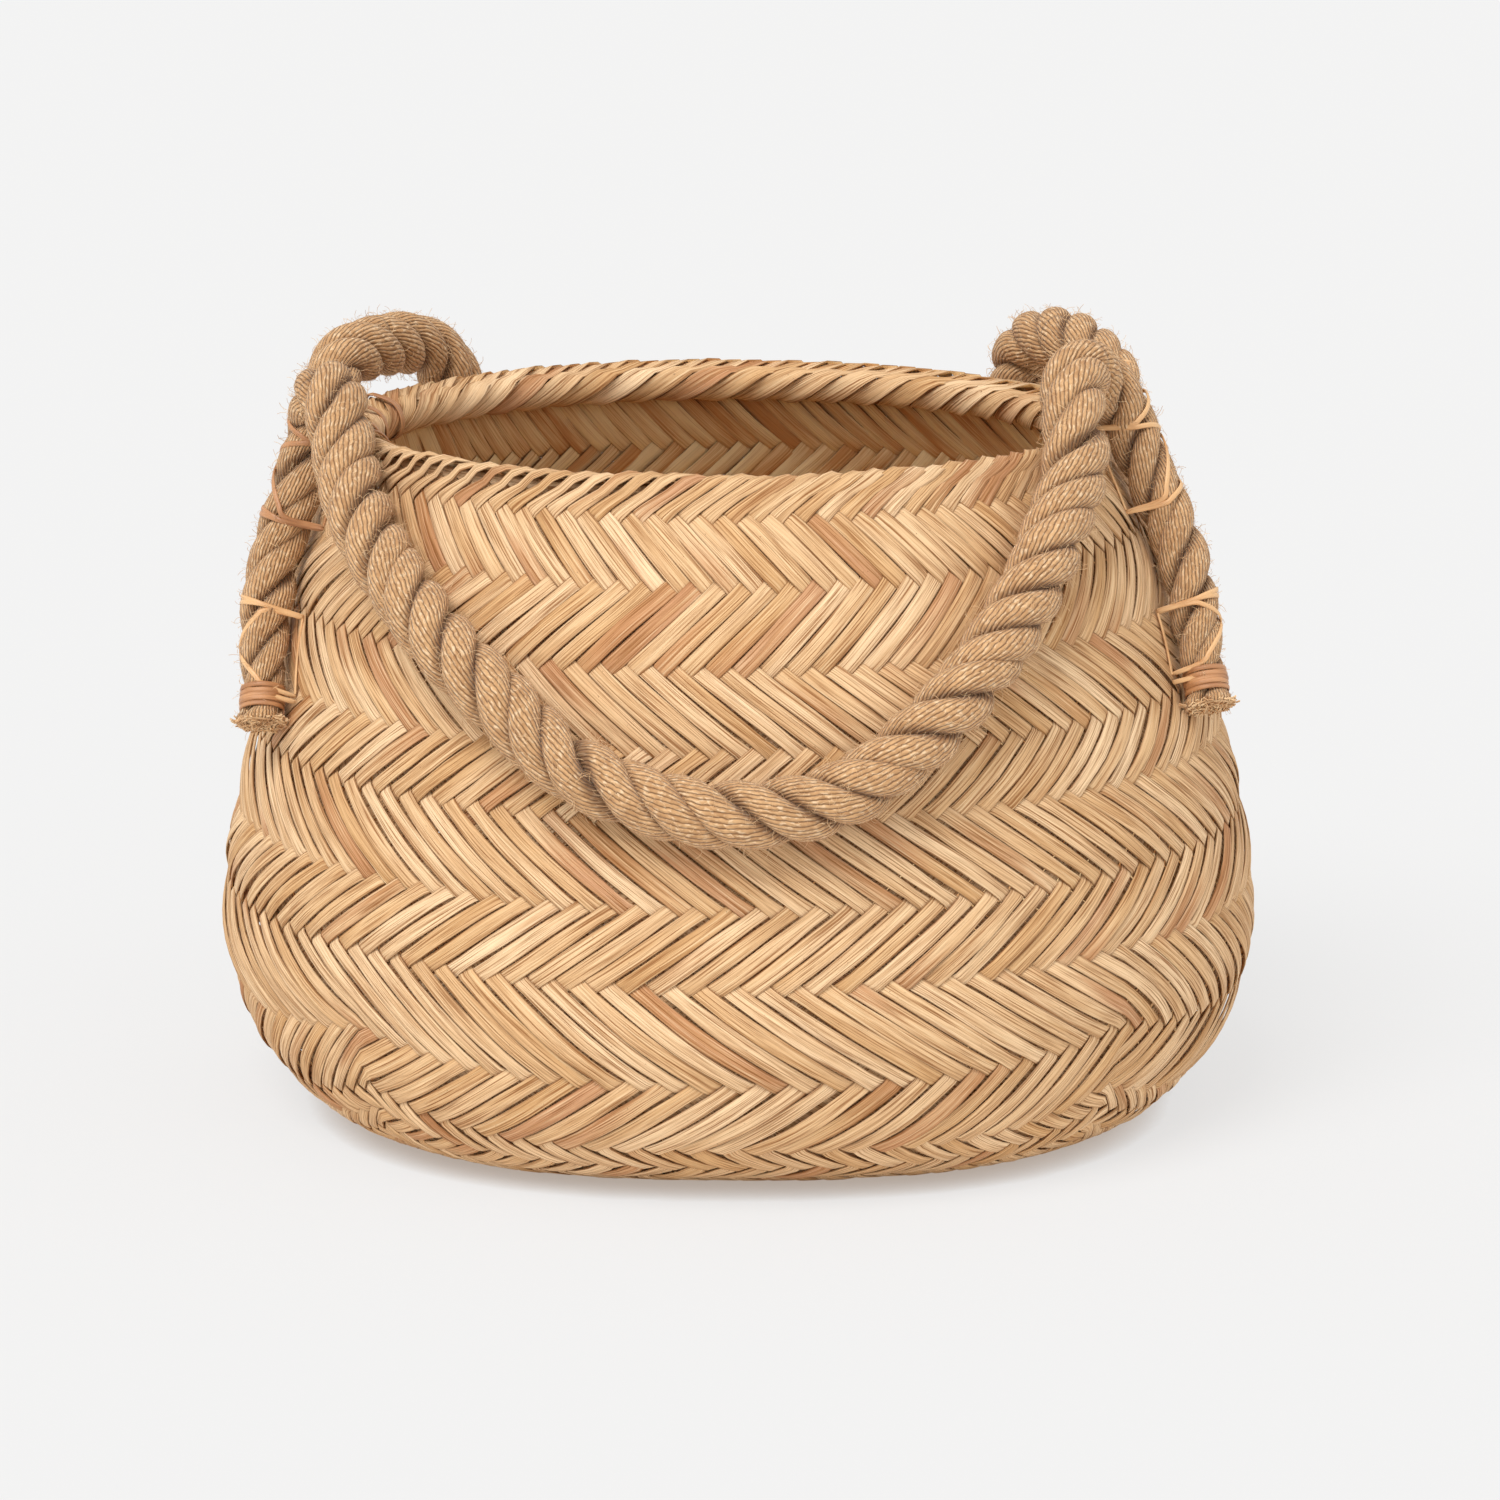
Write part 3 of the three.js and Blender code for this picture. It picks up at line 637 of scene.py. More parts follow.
tree.end_seen("ShaderNodeOutputMaterial", bounce, both)
floor.data.materials.append(floor_finish)
floor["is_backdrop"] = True
bpy.context.scene.view_settings.view_transform = "Standard"
print("floor, sky and two suns ready")

# %% [markdown]
# ## How the basket is plaited
# The work starts at the bottom. A square mat of strips is plaited at 45 degrees to
# its sides, and then all strips are turned up. Half of them now lean to the right
# and half to the left, and they cross each other all the way up to the rim. Every
# strip therefore runs up the wall, under the basket, and up the wall again.
#
# Two numbers name each place on the wall: a counts the strips that lean right and
# b the strips that lean left. Their difference is the level above the edge of the
# bottom, and half their sum is the place round the basket. Two strips cross at
# each whole level. In a band of herringbone one family floats on top for several
# levels, then the other does. So a short list, the number of levels in each band,
# is the whole pattern. Below the last band the floats are short, as in the mat.

# %% Levels of the weave
SIDE_STRIPS = 28
LEVELS = 73
# Levels in each band from the rim down, and the height at which each band ends.
band_levels = [3, 5, 7, 7, 6, 8, 7, 9, 7]
band_heights = [268.5, 243.0, 213.0, 183.0, 157.5, 124.0, 94.0, 56.0, 26.5]
LIP_START = 278.5
FOOT_EDGE = FOOT_RADIUS + 6
PITCH = 7.05
SHORT_BAND = 3

band_ends = [LEVELS]
for count in band_levels:
    band_ends.append(band_ends[-1] - count)


def right_on_top(level):
    """True where the strips that lean right lie outside, at a whole level."""
    for i in range(len(band_levels)):
        if level >= band_ends[i + 1]:
            return i % 2 == 0
    steps = (band_ends[-1] - 1 - level) // SHORT_BAND
    return (len(band_levels) + steps) % 2 == 0


heights = np.linspace(0, RIM_HEIGHT, 2000)
wall_run = added_up(np.hypot(np.diff(heights), np.diff(wall_radius(heights)))) + FOOT_RADIUS

known_levels = [0, *[end - 0.5 for end in reversed(band_ends[1:])], LEVELS]
known_runs = [FOOT_EDGE, *np.interp([*reversed(band_heights), LIP_START], heights, wall_run)]
fine_levels = np.linspace(0, LEVELS, 10 * LEVELS + 1)
level_steps = np.diff(np.interp(fine_levels, known_levels, known_runs))
window = np.hanning(31)
soft = window[1:-1] / window.sum()
level_steps = np.convolve(np.pad(level_steps, len(soft) // 2, mode="edge"), soft, mode="valid")
level_run = FOOT_EDGE + added_up(level_steps)

HALF_SIDE = SIDE_STRIPS * PITCH / math.sqrt(2)
SIDE_STEP = 2 * HALF_SIDE / SIDE_STRIPS
print("half the side of the bottom", round(HALF_SIDE, 1), "mm, levels end",
      round(float(wall_run[-1] - level_run[-1]), 1), "mm below the rim")

# %% [markdown]
# ## From the two numbers to a point
# Inside the square edge of the bottom the place is plain geometry on a flat square.
# Above it the square has to become round: angle and height fade from the square to
# even circles over the first levels. The way from the centre of the bottom is
# measured along the surface, so the same distance works on the floor and up the
# wall. The direction that faces outwards is found by taking two short steps on the
# surface and crossing them.

# %% Places on the woven surface
SQUARE_FADE = 34.0
CORNER_PULL = 0.16
SHORT_STEP = 0.6


def surface_point(distance, turn):
    """Point at a distance along the surface from the centre of the bottom."""
    height = np.interp(distance, wall_run, heights)
    radius = np.where(distance < FOOT_RADIUS, distance, wall_radius(height))
    over = np.maximum(distance - wall_run[-1], 0)
    return around(turn, radius, height + over)


def woven_place(a, b, side):
    """Distance from the centre and angle, for arrays of a and b on one side."""
    level = b - a
    place = (a + b) / 2 - SIDE_STRIPS * side
    ahead = (place - SIDE_STRIPS / 2) * SIDE_STEP
    out = HALF_SIDE - np.maximum(-level, 0) * SIDE_STEP / 2
    square_turn = np.arctan2(ahead, out)
    square_run = np.hypot(ahead, out)
    corner = (1 - np.cos(4 * square_turn)) / 2
    square_run = square_run * (1 - CORNER_PULL * corner * np.clip(square_run / HALF_SIDE, 0, 1) ** 3)
    round_turn = (place / SIDE_STRIPS - 0.5) * math.pi / 2
    fade = np.clip(level / SQUARE_FADE, 0, 1)
    fade = fade * fade * (3 - 2 * fade)
    climb = np.interp(level, fine_levels, level_run) - FOOT_EDGE
    run = square_run * (1 - fade) + FOOT_EDGE * fade + climb
    turn = square_turn * (1 - fade) + round_turn * fade
    return run, turn + side * math.pi / 2


def woven_point(a, b, side):
    """Point of the woven surface, and the unit vector out of it."""
    run, turn = woven_place(a, b, side)
    up = surface_point(run + SHORT_STEP, turn) - surface_point(run - SHORT_STEP, turn)
    small = SHORT_STEP / wall_radius(np.interp(run, wall_run, heights))
    along = surface_point(run, turn + small) - surface_point(run, turn - small)
    flat = run < FOOT_RADIUS - 1
    out = np.where(flat[..., None], np.array([0.0, 0.0, -1.0]), unit(np.cross(along, up)))
    return surface_point(run, turn), out


print("edge of the bottom lies", FOOT_EDGE, "mm out")

# %% [markdown]
# ## Drawing the strips
# Each strip is a thin closed band of eight corners per row: one at each edge, four
# on the outer face, which is slightly domed, and two on the inner face. A row lies
# along a gap between two strips of the other family, so a strip dives under its
# neighbour right along that neighbour's edge. The rows are drawn without thickness
# here. Each corner only carries numbers: which face it is on, whether the strip is
# on top, and how far through a float it is. A node tree turns these into shape.
#
# No weave is even. A float is narrower near its ends, where it is pulled under its
# neighbour, and in a few loose places the strips are drawn thin, so small gaps
# open. Where a strip lies inside it is drawn a little wider than its share, as
# pressed strips close up, and near the rim the weave is beaten tight, so no light
# shows through the wall.

# %% Rows of one strip
DIVE = 0.2
STRIP_WIDTH_SHARE = 0.965
TIGHT_INSIDE = 1.065
TIGHT_AT_RIM = 0.045
NEAR_RIM_LEVEL = 50
RIM_SLACK = 0.42
FOOT_LEVELS = 8
FULL_FLOAT, MOST_BOW = 7, 1.2
LOOSE_TURN, LOOSE_LEVELS = 0.3, 8
SKIN = 1.5
# Section of a strip: place across it, and face, from 1.2 (outer dome) to -1 (inner).
ring_across = np.array([-1.0, -0.92, -0.5, 0.5, 0.92, 1.0, 0.92, -0.92])
ring_face = np.array([0.0, 0.7, 1.2, 1.2, 0.7, 0.0, -1.0, -1.0])
RING = len(ring_across)
# Angle in degrees, level and strength of each loose place.
loose_places = [
    (203, 57, 0.1), (338, 56, 0.1), (196, 26, 0.13), (344, 24, 0.12), (28, 50, 0.1), (150, 45, 0.12),
]


def part_rows(lowest, family_right):
    """Rows of a strip up one wall: level, on top or below, bow, and nearness to a float's end."""
    first = math.ceil(lowest)
    on_top = [right_on_top(level) == family_right for level in range(first, LEVELS)]
    starts = [i for i in range(len(on_top)) if i == 0 or on_top[i] != on_top[i - 1]]
    rows = []
    for start, end in zip(starts, [*starts[1:], len(on_top)]):
        sign = 1.0 if on_top[start] else -1.0
        begin, span = first + start - 0.5, end - start
        for mark in [DIVE, *range(1, span), span - DIVE]:
            on_wall = min(max((begin + mark) / FOOT_LEVELS, 0), 1)
            bow = math.sin(math.pi * mark / span) * on_wall * min(span / FULL_FLOAT, MOST_BOW)
            near_end = np.interp(min(mark, span - mark), [DIVE, 1, 2, 3.5], [0.5, 1, 0.6, 0])
            rows.append((begin + mark, sign, sign * bow, near_end * on_wall))
    return rows


def waver(run, phases, size):
    """A slow wander along a strip."""
    return size * (np.sin(run / 17 + phases[0]) + 0.8 * np.sin(run / 8.3 + phases[1])) / 1.8


def apart(turn, other):
    """How far one angle lies from another, the short way round."""
    return (turn - other + math.pi) % (2 * math.pi) - math.pi


def wall_part(corner, index, family_right, phases, slack):
    """Corners, outward directions and values of one strip on its way up one wall."""
    rows = np.array(part_rows(-(index + 0.5), family_right))
    level, lift, arch, near_end = rows.T
    sign = 1 if family_right else -1
    start = SIDE_STRIPS * corner
    turn = ((start + sign * (index + 0.5 + level / 2)) / SIDE_STRIPS - 0.5) * math.pi / 2
    width = STRIP_WIDTH_SHARE / 2 * (1 + phases[3] + waver(level * 5, phases[::-1], 0.03))
    width *= 1 - RIM_SLACK * slack * np.clip((level - LEVELS + 3) / 2.5, 0, 1)
    for loose_turn, loose_level, strength in loose_places:
        beside = apart(turn, math.radians(loose_turn)) / LOOSE_TURN
        loose_here = np.exp(-(beside**2) - ((level - loose_level) / LOOSE_LEVELS) ** 2)
        width *= 1 - strength * loose_here * np.where(lift > 0, 1, 0.3)
    near_rim = np.clip((level - NEAR_RIM_LEVEL) / 7, 0, 1)
    ease = (0.085 + 0.07 * np.sin(3 * turn + 0.45 * level + phases[0])) * (1 - near_rim)
    width *= np.where(lift > 0, 1 - ease * near_end, TIGHT_INSIDE) + TIGHT_AT_RIM * near_rim
    shift = waver(level * 7 + 40 * phases[2], phases, 0.04)
    own = start + sign * (index + 0.5 + shift[:, None] + width[:, None] * ring_across[None, :])
    crossed = np.broadcast_to((start + sign * (index + 0.5 + level))[:, None], own.shape)
    a, b = (own, crossed) if family_right else (crossed, own)
    side = corner if family_right else corner - 1
    place_side = np.where(b - a > 0, np.floor((a + b) / 2 / SIDE_STRIPS), side)
    points, out = woven_point(a, b, place_side)
    return points - SKIN * out, out, lift, arch


print("a strip that starts at a corner has", len(part_rows(-0.5, True)), "rows on its way up")

# %% [markdown]
# ## The lip and the border
# At the rim the strips that lean right roll over the lip and wind round the inside
# as a rope-like border, so their rows go on along the section of that roll. The
# turns of the border lie about twice as far apart as the strips of the wall, so
# every second strip ends early and is tucked under its neighbour. At the front left
# the strips are slack where they turn over the lip, so the rim looks open there.

# %% The roll of the lip and the border
LIP_STEP = 2.6
ROLL_SLACK = 0.46
SHORT_END = 0.42
TUCKED_UNDER = 1.3
# Radius and height along the roll, from the outer edge of the lip to its tucked end.
lip_section = np.array([
    (153.0, 278.2), (153.2, 280.2), (152.3, 281.9), (150.2, 282.5), (147.9, 281.5),
    (146.0, 280.2), (143.8, 280.0), (141.6, 278.3), (140.5, 275.4), (140.9, 271.8),
    (142.8, 268.6), (146.0, 267.2), (149.0, 267.8),
])
lip_line, lip_marks = through(np.column_stack([lip_section, np.zeros(len(lip_section))]), LIP_STEP)
lip_share = lip_marks / lip_marks[-1]
# How far strips lean and how wide they are at some shares of the roll.
roll_marks = [0, 0.1, 0.22, 0.45, 0.8, 1]
roll_lean = [1.05, 1.6, 2.3, 2.0, 1.7, 1.2]
roll_width = [0.96, 0.8, 0.8, 1.3, 1.3, 0.9]


def rolled_rows(turn, wobble):
    """Middle line and outward directions of a strip that rolls over the lip."""
    radius = lip_line[:, 0] + wobble[0] * np.sin(math.pi * lip_share)
    height = lip_line[:, 1] + wobble[1] * np.sin(math.pi * np.clip(lip_share * 2.2, 0, 1))
    angle = turn + np.cumsum(np.interp(lip_share, roll_marks, roll_lean)) * LIP_STEP / RIM_RADIUS
    slope = unit(np.gradient(lip_line[:, :2], axis=0))
    out = np.column_stack([np.cos(angle) * slope[:, 1], np.sin(angle) * slope[:, 1], -slope[:, 0]])
    return around(angle, radius, height), unit(out)


def rim_part(turn, wobble, slack, is_short):
    """Corners, outward directions and values of one strip on its way round the border."""
    roll, out = (v[1:] for v in rolled_rows(turn, wobble))
    share = lip_share[1:]
    sideways = np.cross(unit(np.gradient(roll, axis=0)), out)
    half_width = 0.5 * PITCH * np.interp(share, roll_marks, roll_width)
    half_width *= 1 - ROLL_SLACK * slack * np.clip((0.3 - share) / 0.12, 0, 1)
    tilt = np.interp(share, [0, 0.1, 0.25, 0.4, 1], [0, 0.3, 0.3, 0.55, 0.55])
    if is_short:
        kept = share < SHORT_END
        roll = roll - TUCKED_UNDER * np.clip((share - 0.16) / 0.12, 0, 1)[:, None] * out
        roll, out, share, sideways, half_width, tilt = (
            v[kept] for v in (roll, out, share, sideways, half_width, tilt))
    points = (
        roll[:, None]
        + (half_width[:, None] * ring_across)[..., None] * sideways[:, None]
        - (tilt[:, None] * ring_across)[..., None] * out[:, None]
    )
    lift = 1 - 0.8 * np.clip(share * 4, 0, 1)
    return points, np.repeat(out[:, None], RING, axis=1), lift, np.zeros(len(share))


print("the lip and border section is", round(lip_marks[-1], 1), "mm round")

# %% Every strip
OPEN_LIP = math.radians(226)
straw_random = np.random.default_rng(7)
strip_groups = [{"corners": [], "faces": [], "values": []} for _ in range(2)]

for number in range(4 * SIDE_STRIPS):
    corner, index = divmod(number, SIDE_STRIPS)
    phases = straw_random.uniform(0, 6.28, 3).tolist() + [straw_random.uniform(-0.05, 0.04)]
    turn = ((index + 0.5 + LEVELS / 2) / SIDE_STRIPS - 0.5 + corner) * math.pi / 2
    open_here = math.exp(-(apart(turn, OPEN_LIP) / 0.6) ** 2)
    left = [v[::-1] for v in wall_part(corner, index, False, phases, 0)]
    right = wall_part(corner, index, True, phases, open_here)
    x, y, _ = right[0][-1].mean(axis=0)
    wobble = straw_random.normal(0, [0.45, 0.5])
    rim = rim_part(math.atan2(y, x + NECK_LEAN), wobble, open_here, index % 2 == 1)
    points, out, lift, arch = (np.concatenate(part) for part in zip(left, right, rim))
    run = run_along(points.mean(axis=1))
    count = len(run)
    group = strip_groups[corner // 2]
    group["faces"] += tube_faces(count, RING, sum(len(c) for c in group["corners"]))
    group["corners"].append(points.reshape(-1, 3))
    group["values"].append(np.column_stack([
        out.reshape(-1, 3),
        np.tile(ring_face, count),
        np.repeat(lift, RING),
        np.repeat(arch, RING),
        np.full(count * RING, number),
        np.tile(ring_across, count),
        np.repeat(run * MM, RING),
    ]))
print("strips:", 4 * SIDE_STRIPS, "each about", round(float(run[-1])), "mm long")

# %% [markdown]
# ## A node tree that gives the strips their body
# The tree moves every corner along its outward direction: by half the thickness for
# its face, by the lift where its strip crosses over or under, and by a bulge in
# the middle of each float, because a flat strip springs out between the places
# where it is held. Each strip also gets a small random looseness and a random tone
# for its colour. Inputs are named, so that the weave can be tried thicker or looser.

# %% Node tree: plaited strips
strips_tree, tree, given = new_tree("Plaited strips", [
    ("Strip thickness", "Float", 0.0008),
    ("Lift", "Float", 0.0005),
    ("Bulge", "Float", 0.001),
    ("Looseness", "Float", 0.0002),
    ("Tilt", "Float", 0.0002),
    ("Seed", "Int", 3),
    ("Finish", "Material", None),
])
face, lift, arch, strip, across = (
    tree.stored(name) for name in ("face", "lift", "arch", "strip", "across"))
loose = tree.chance({"Min": -1, "Max": 1, "ID": strip, "Seed": given["Seed"]})
moved = tree.times(face, tree.times(given["Strip thickness"], 0.5))
for step in (
    tree.times(lift, given["Lift"]),
    tree.times(arch, given["Bulge"]),
    tree.times(loose, tree.times(arch, given["Looseness"])),
    tree.times(across, tree.times(loose, given["Tilt"])),
):
    moved = tree.plus(moved, step)
offset = tree.add("ShaderNodeVectorMath", {
    0: tree.stored("out", "FLOAT_VECTOR"), "Scale": moved,
}, operation="SCALE")
body = tree.add("GeometryNodeSetPosition", {"Geometry": given["Geometry"], "Offset": offset})
tone = tree.chance({"ID": strip, "Seed": tree.plus(given["Seed"], 1)})
finish_tree(tree, tree.store(body, "tone", tone), given["Finish"])
print("tree", strips_tree.name, "has", len(tree.nodes), "nodes")

# %% [markdown]
# ## The finish of the straw
# Split rattan is pale straw to tan. Its grain runs along the strip in fine dark
# lines, its edges are a little darker, partly from their own wear and partly as
# painted shade of the gaps between strips, and here and there a strip turns reddish
# brown for a hand's breadth. The material reads from the mesh how far across and
# along the strip it is and the strip's number, so the grain follows each strip and
# no two match. A tone shifts each strip's colour. The inner face is plainer and
# paler; the paler colour is partly painted light that brightens the inside of the basket.

# %% Straw
straw, tree, shader = new_material("straw_strip")
across, along, strip, tone, face = (
    tree.read(name) for name in ("across", "along", "strip", "tone", "face"))
strip_shift = tree.times(strip, 7.31)


def streaks(fine, short, layer, detail):
    """Grain of the straw, different on each strip."""
    return tree.grain(across, along, fine, short, tree.plus(strip_shift, layer), detail)


broad = streaks(1.6, 22.0, 3.0, 2.0)
fibre = streaks(7.0, 30.0, 11.0, 3.0)
fine_fibre = streaks(16.0, 55.0, 23.0, 2.0)
slow = streaks(0.2, 9.0, 37.0, 2.0)
patch = streaks(0.05, 6.0, 51.0, 1.0)
speck = streaks(5.0, 700.0, 67.0, 1.0)
# Darker edges: partly the strips' own wear, partly painted shade of the gaps between strips.
edge_wear_and_shade = tree.between(streaks(0.0, 26.0, 83.0, 1.0), 0.38, 0.62, 0.3, 1.0)
edge = tree.times(edge_wear_and_shade, tree.between(tree.maths("ABSOLUTE", across), 0.84, 1.0, 0, 0.85))

outside = tree.coats(linear(241, 208, 167), [
    (tree.plus(slow, tree.times(tone, 0.5)), 0.45, 1.0, 0, 1, (214, 171, 122)),
    (tree.plus(patch, tree.times(broad, 0.12)), 0.665, 0.73, 0, 0.75, (188, 130, 92)),
    (broad, 0.42, 0.75, 0, 0.55, (184, 136, 86)),
    (fibre, 0.5, 0.66, 0, 0.9, (142, 92, 50)),
    (fine_fibre, 0.52, 0.7, 0, 0.6, (134, 86, 46)),
    (fibre, 0.44, 0.3, 0, 0.4, (250, 226, 184)),
    (speck, 0.76, 0.8, 0, 0.6, (104, 66, 36)),
])
outside = tree.blend(edge, outside, linear(112, 70, 36))
# The inner face is plainer, and paler: the paler colour is partly painted light that brightens the
# shaded inside of the basket.
inside = tree.coats(linear(255, 232, 182), [
    (tree.plus(slow, tree.times(fibre, 0.4)), 0.58, 0.82, 0, 1, (206, 148, 92)),
])
relief = tree.plus(tree.times(fibre, -0.7), tree.times(fine_fibre, -0.3))
tree.join(shader, {
    "Base Color": tree.blend(tree.between(face, -0.3, -0.9, 0, 0.75), outside, inside),
    "Roughness": 0.66,
    "Specular IOR Level": 0.1,
    "Normal": tree.bump(relief, 0.0005, 0.8),
})
print(straw.name, len(tree.nodes), "nodes")

# %% The strips as pieces
value_names = ("face", "lift", "arch", "strip", "across", "along")
plaited = []
for number, group in enumerate(strip_groups, 1):
    values = np.concatenate(group["values"])
    piece = new_piece(f"plaited_strips_{number}", np.concatenate(group["corners"]), group["faces"], {
        "out": values[:, :3],
        **{name: values[:, 3 + k] for k, name in enumerate(value_names)},
    })
    run_tree(piece, strips_tree, strip_thickness=0.0007, lift=0.0006, bulge=0.0016,
             looseness=0.0007, tilt=0.0003, seed=3, finish=straw)
    plaited.append(piece)

# %% [markdown]
# ## The core of the border
# Under the wound strips at the rim lies a core: the ends of the strips that lean
# left, bent over and bound in. It is a plain oval ring that fills the roll, so that
# no light shows through between the turns.

# %% Border core
CORE_TURNS, CORE_CORNERS = 160, 12
CORE_RADIUS, CORE_HALF_WIDTH = 145.4, 3.3
CORE_HEIGHT, CORE_HALF_HEIGHT = 273.2, 4.8
turn = (2 * math.pi * np.arange(CORE_TURNS) / CORE_TURNS)[:, None]
section = 2 * math.pi * np.arange(CORE_CORNERS) / CORE_CORNERS
radius = CORE_RADIUS + CORE_HALF_WIDTH * np.cos(section) + 0.3 * np.sin(turn * 37)
points = around(turn, radius, CORE_HEIGHT + CORE_HALF_HEIGHT * np.sin(section))
numbers = np.arange(CORE_TURNS * CORE_CORNERS).reshape(CORE_TURNS, CORE_CORNERS)
onward = np.roll(numbers, -1, axis=0)
faces = np.stack([numbers, onward, np.roll(onward, -1, axis=1), np.roll(numbers, -1, axis=1)], axis=-1)
turn_number = numbers.ravel() // CORE_CORNERS
core = new_piece("border_core", points.reshape(-1, 3), faces.reshape(-1, 4), {
    "across": np.tile(np.cos(section), CORE_TURNS),
    "along": turn_number * 0.006,
    "strip": turn_number // 9,
    "tone": (turn_number // 9 * 0.37) % 1,
})
core.data.materials.append(straw)
print(core.name, len(core.data.polygons), "faces")

# %% [markdown]
# ## Cane that holds the rope
# The rope is held with flat split cane, a little over 2 mm wide. Each lacing starts
# at a knot beside the rope, crosses over it in a narrow V, goes into the wall on the
# far side and comes out lower down. Some of the cane is orange-brown and some pale.
#
# A piece of cane is drawn as a line of points, each with the direction that its
# flat side faces. One node tree sweeps a thin rounded section along such lines.

# %% Node tree: split cane
cane_tree, tree, given = new_tree("Split cane", [
    ("Half width", "Float", 0.0013),
    ("Half thickness", "Float", 0.00055),
    ("Section corners", "Int", 10),
    ("Finish", "Material", None),
])
curve = tree.add("GeometryNodeMeshToCurve", {"Mesh": given["Geometry"]})
turned = {"Curve": curve, "Normal": tree.stored("facing", "FLOAT_VECTOR")}
curve = tree.add("GeometryNodeSetCurveNormal", turned, mode="FREE")
curve = tree.store(curve, "along", tree.add("GeometryNodeSplineParameter", {}, "Length"))
section = tree.add("GeometryNodeCurvePrimitiveCircle", {
    "Radius": 1, "Resolution": given["Section corners"],
})
section = tree.store(section, "across", tree.add("GeometryNodeSplineParameter", {}, "Factor"))
section = tree.add("GeometryNodeTransform", {
    "Geometry": section, "Scale": tree.triple(given["Half thickness"], given["Half width"], 1),
})
swept = {"Curve": curve, "Profile Curve": section, "Fill Caps": True}
smooth = tree.add("GeometryNodeSetShadeSmooth", {0: tree.add("GeometryNodeCurveToMesh", swept)})
finish_tree(tree, smooth, given["Finish"])
print("tree", cane_tree.name, "has", len(tree.nodes), "nodes")

# %% Cane finishes


def cane_material(name, light, dark):
    """Smooth skin of split cane: long streaks and a soft shine."""
    material, tree, shader = new_material(name)
    across, along = tree.read("across"), tree.read("along")
    streak = tree.grain(across, along, 30.0, 30.0, 3.0, 3.0)
    slow = tree.grain(across, along, 0.3, 45.0, 9.0, 2.0)
    tree.join(shader, {
        "Base Color": tree.coats(linear(*light), [
            (slow, 0.35, 0.7, 0, 1, dark),
            (streak, 0.5, 0.75, 0, 0.55, dark),
        ]),
        "Roughness": 0.38,
        "Specular IOR Level": 0.5,
        "Normal": tree.bump(streak, 0.0002, 0.5),
    })
    return material


orange_cane = cane_material("orange_cane", (204, 150, 104), (146, 94, 56))
pale_cane = cane_material("pale_cane", (236, 194, 142), (200, 146, 94))
print("two cane finishes")

# %% Lines of cane
CANE_THICKNESS = 1.0
CANE_STEP = 1.2
PASS_FROM, LEVEL_FROM, TUCK_FROM, PASS_TO = -72, 20, 105, 140
TUCK_DEPTH = 2.4


def cane_piece(name, lines, finish, width):
    """One piece from several lines; each line is (points, facing directions)."""
    corners, edges, facing = [], [], []
    for points, out in lines:
        base = sum(len(c) for c in corners)
        edges += [(base + i, base + i + 1) for i in range(len(points) - 1)]
        corners.append(points)
        facing.append(unit(out))
    mesh = bpy.data.meshes.new(name)
    mesh.from_pydata((np.vstack(corners) * MM).tolist(), edges, [])
    layer = mesh.attributes.new("facing", "FLOAT_VECTOR", "POINT")
    layer.data.foreach_set("vector", np.vstack(facing).astype(np.float32).ravel())
    return run_tree(placed(name, mesh), cane_tree, half_width=width / 2 * MM,
                    half_thickness=CANE_THICKNESS / 2 * MM, section_corners=10, finish=finish)


def smooth_line(spots):
    """A curve through (point, facing direction) spots, with the facing spread along it."""
    points, outs = (np.array(v, float) for v in zip(*spots))
    line, marks = through(points, CANE_STEP)
    return line, unit(rows_at(marks, nearest_marks(line, marks, points), outs))


def lean_at(height):
    """How far the axis of the basket stands to the side at a height."""
    return around(0.0, 0.0, height)[0]


def rope_at(line, height, girth):
    """Middle, outward and sideways directions and half thickness of a rope end at a height."""
    count = np.arange(len(line))
    k = np.interp(height, line[:, 2], count)
    middle, after, before = (rows_at(m, count, line) for m in (k, k + 3, k - 3))
    along = unit(after - before)
    away = np.array([middle[0] - lean_at(middle[2]), middle[1], 0.0])
    away = unit(away - along * away.dot(along))
    return middle, away, np.cross(away, along), np.interp(k, count, girth) / 2


def over_rope(line, girth, near_height, far_height, hand):
    """A pass of cane over the rope, from the knot side to the far side, tucked in there."""
    spots = []
    for degrees in np.linspace(PASS_FROM, PASS_TO, 14):
        share = min(1.0, (degrees - PASS_FROM) / (LEVEL_FROM - PASS_FROM))
        height = near_height + (far_height - near_height) * share
        middle, away, side, radius = rope_at(line, height, girth)
        angle = math.radians(degrees) * hand
        out = away * math.cos(angle) - side * math.sin(angle)
        sunk = TUCK_DEPTH * max(0.0, (degrees - TUCK_FROM) / (PASS_TO - TUCK_FROM))
        spots.append((middle + out * (0.93 * radius + 0.5 - sunk), out))
    return spots


def wall_spot(line, girth, height, hand, stand=0.9, beside=0.6):
    """A place on the wall beside the rope, and the direction it faces."""
    middle, _, _, radius = rope_at(line, height, girth)
    turn = math.atan2(middle[1], middle[0] - lean_at(height))
    wall = float(wall_radius(height))
    place = around(turn + hand * (radius + beside) / wall, wall + stand, height)
    out = around(turn, 1.0, 0.0)
    return place, unit(np.array([out[0], out[1], 0.25]))


print("cane lines ready")

# %% Laces, ties and whippings
# Along a stitch beside the rope: share of its height, stand off the wall, gap to the rope.
long_stitch = ((0, 0.9, 0.6), (0.3, 1.7, 1.6), (0.7, 1.7, 1.8), (1, 0.9, 0.8))
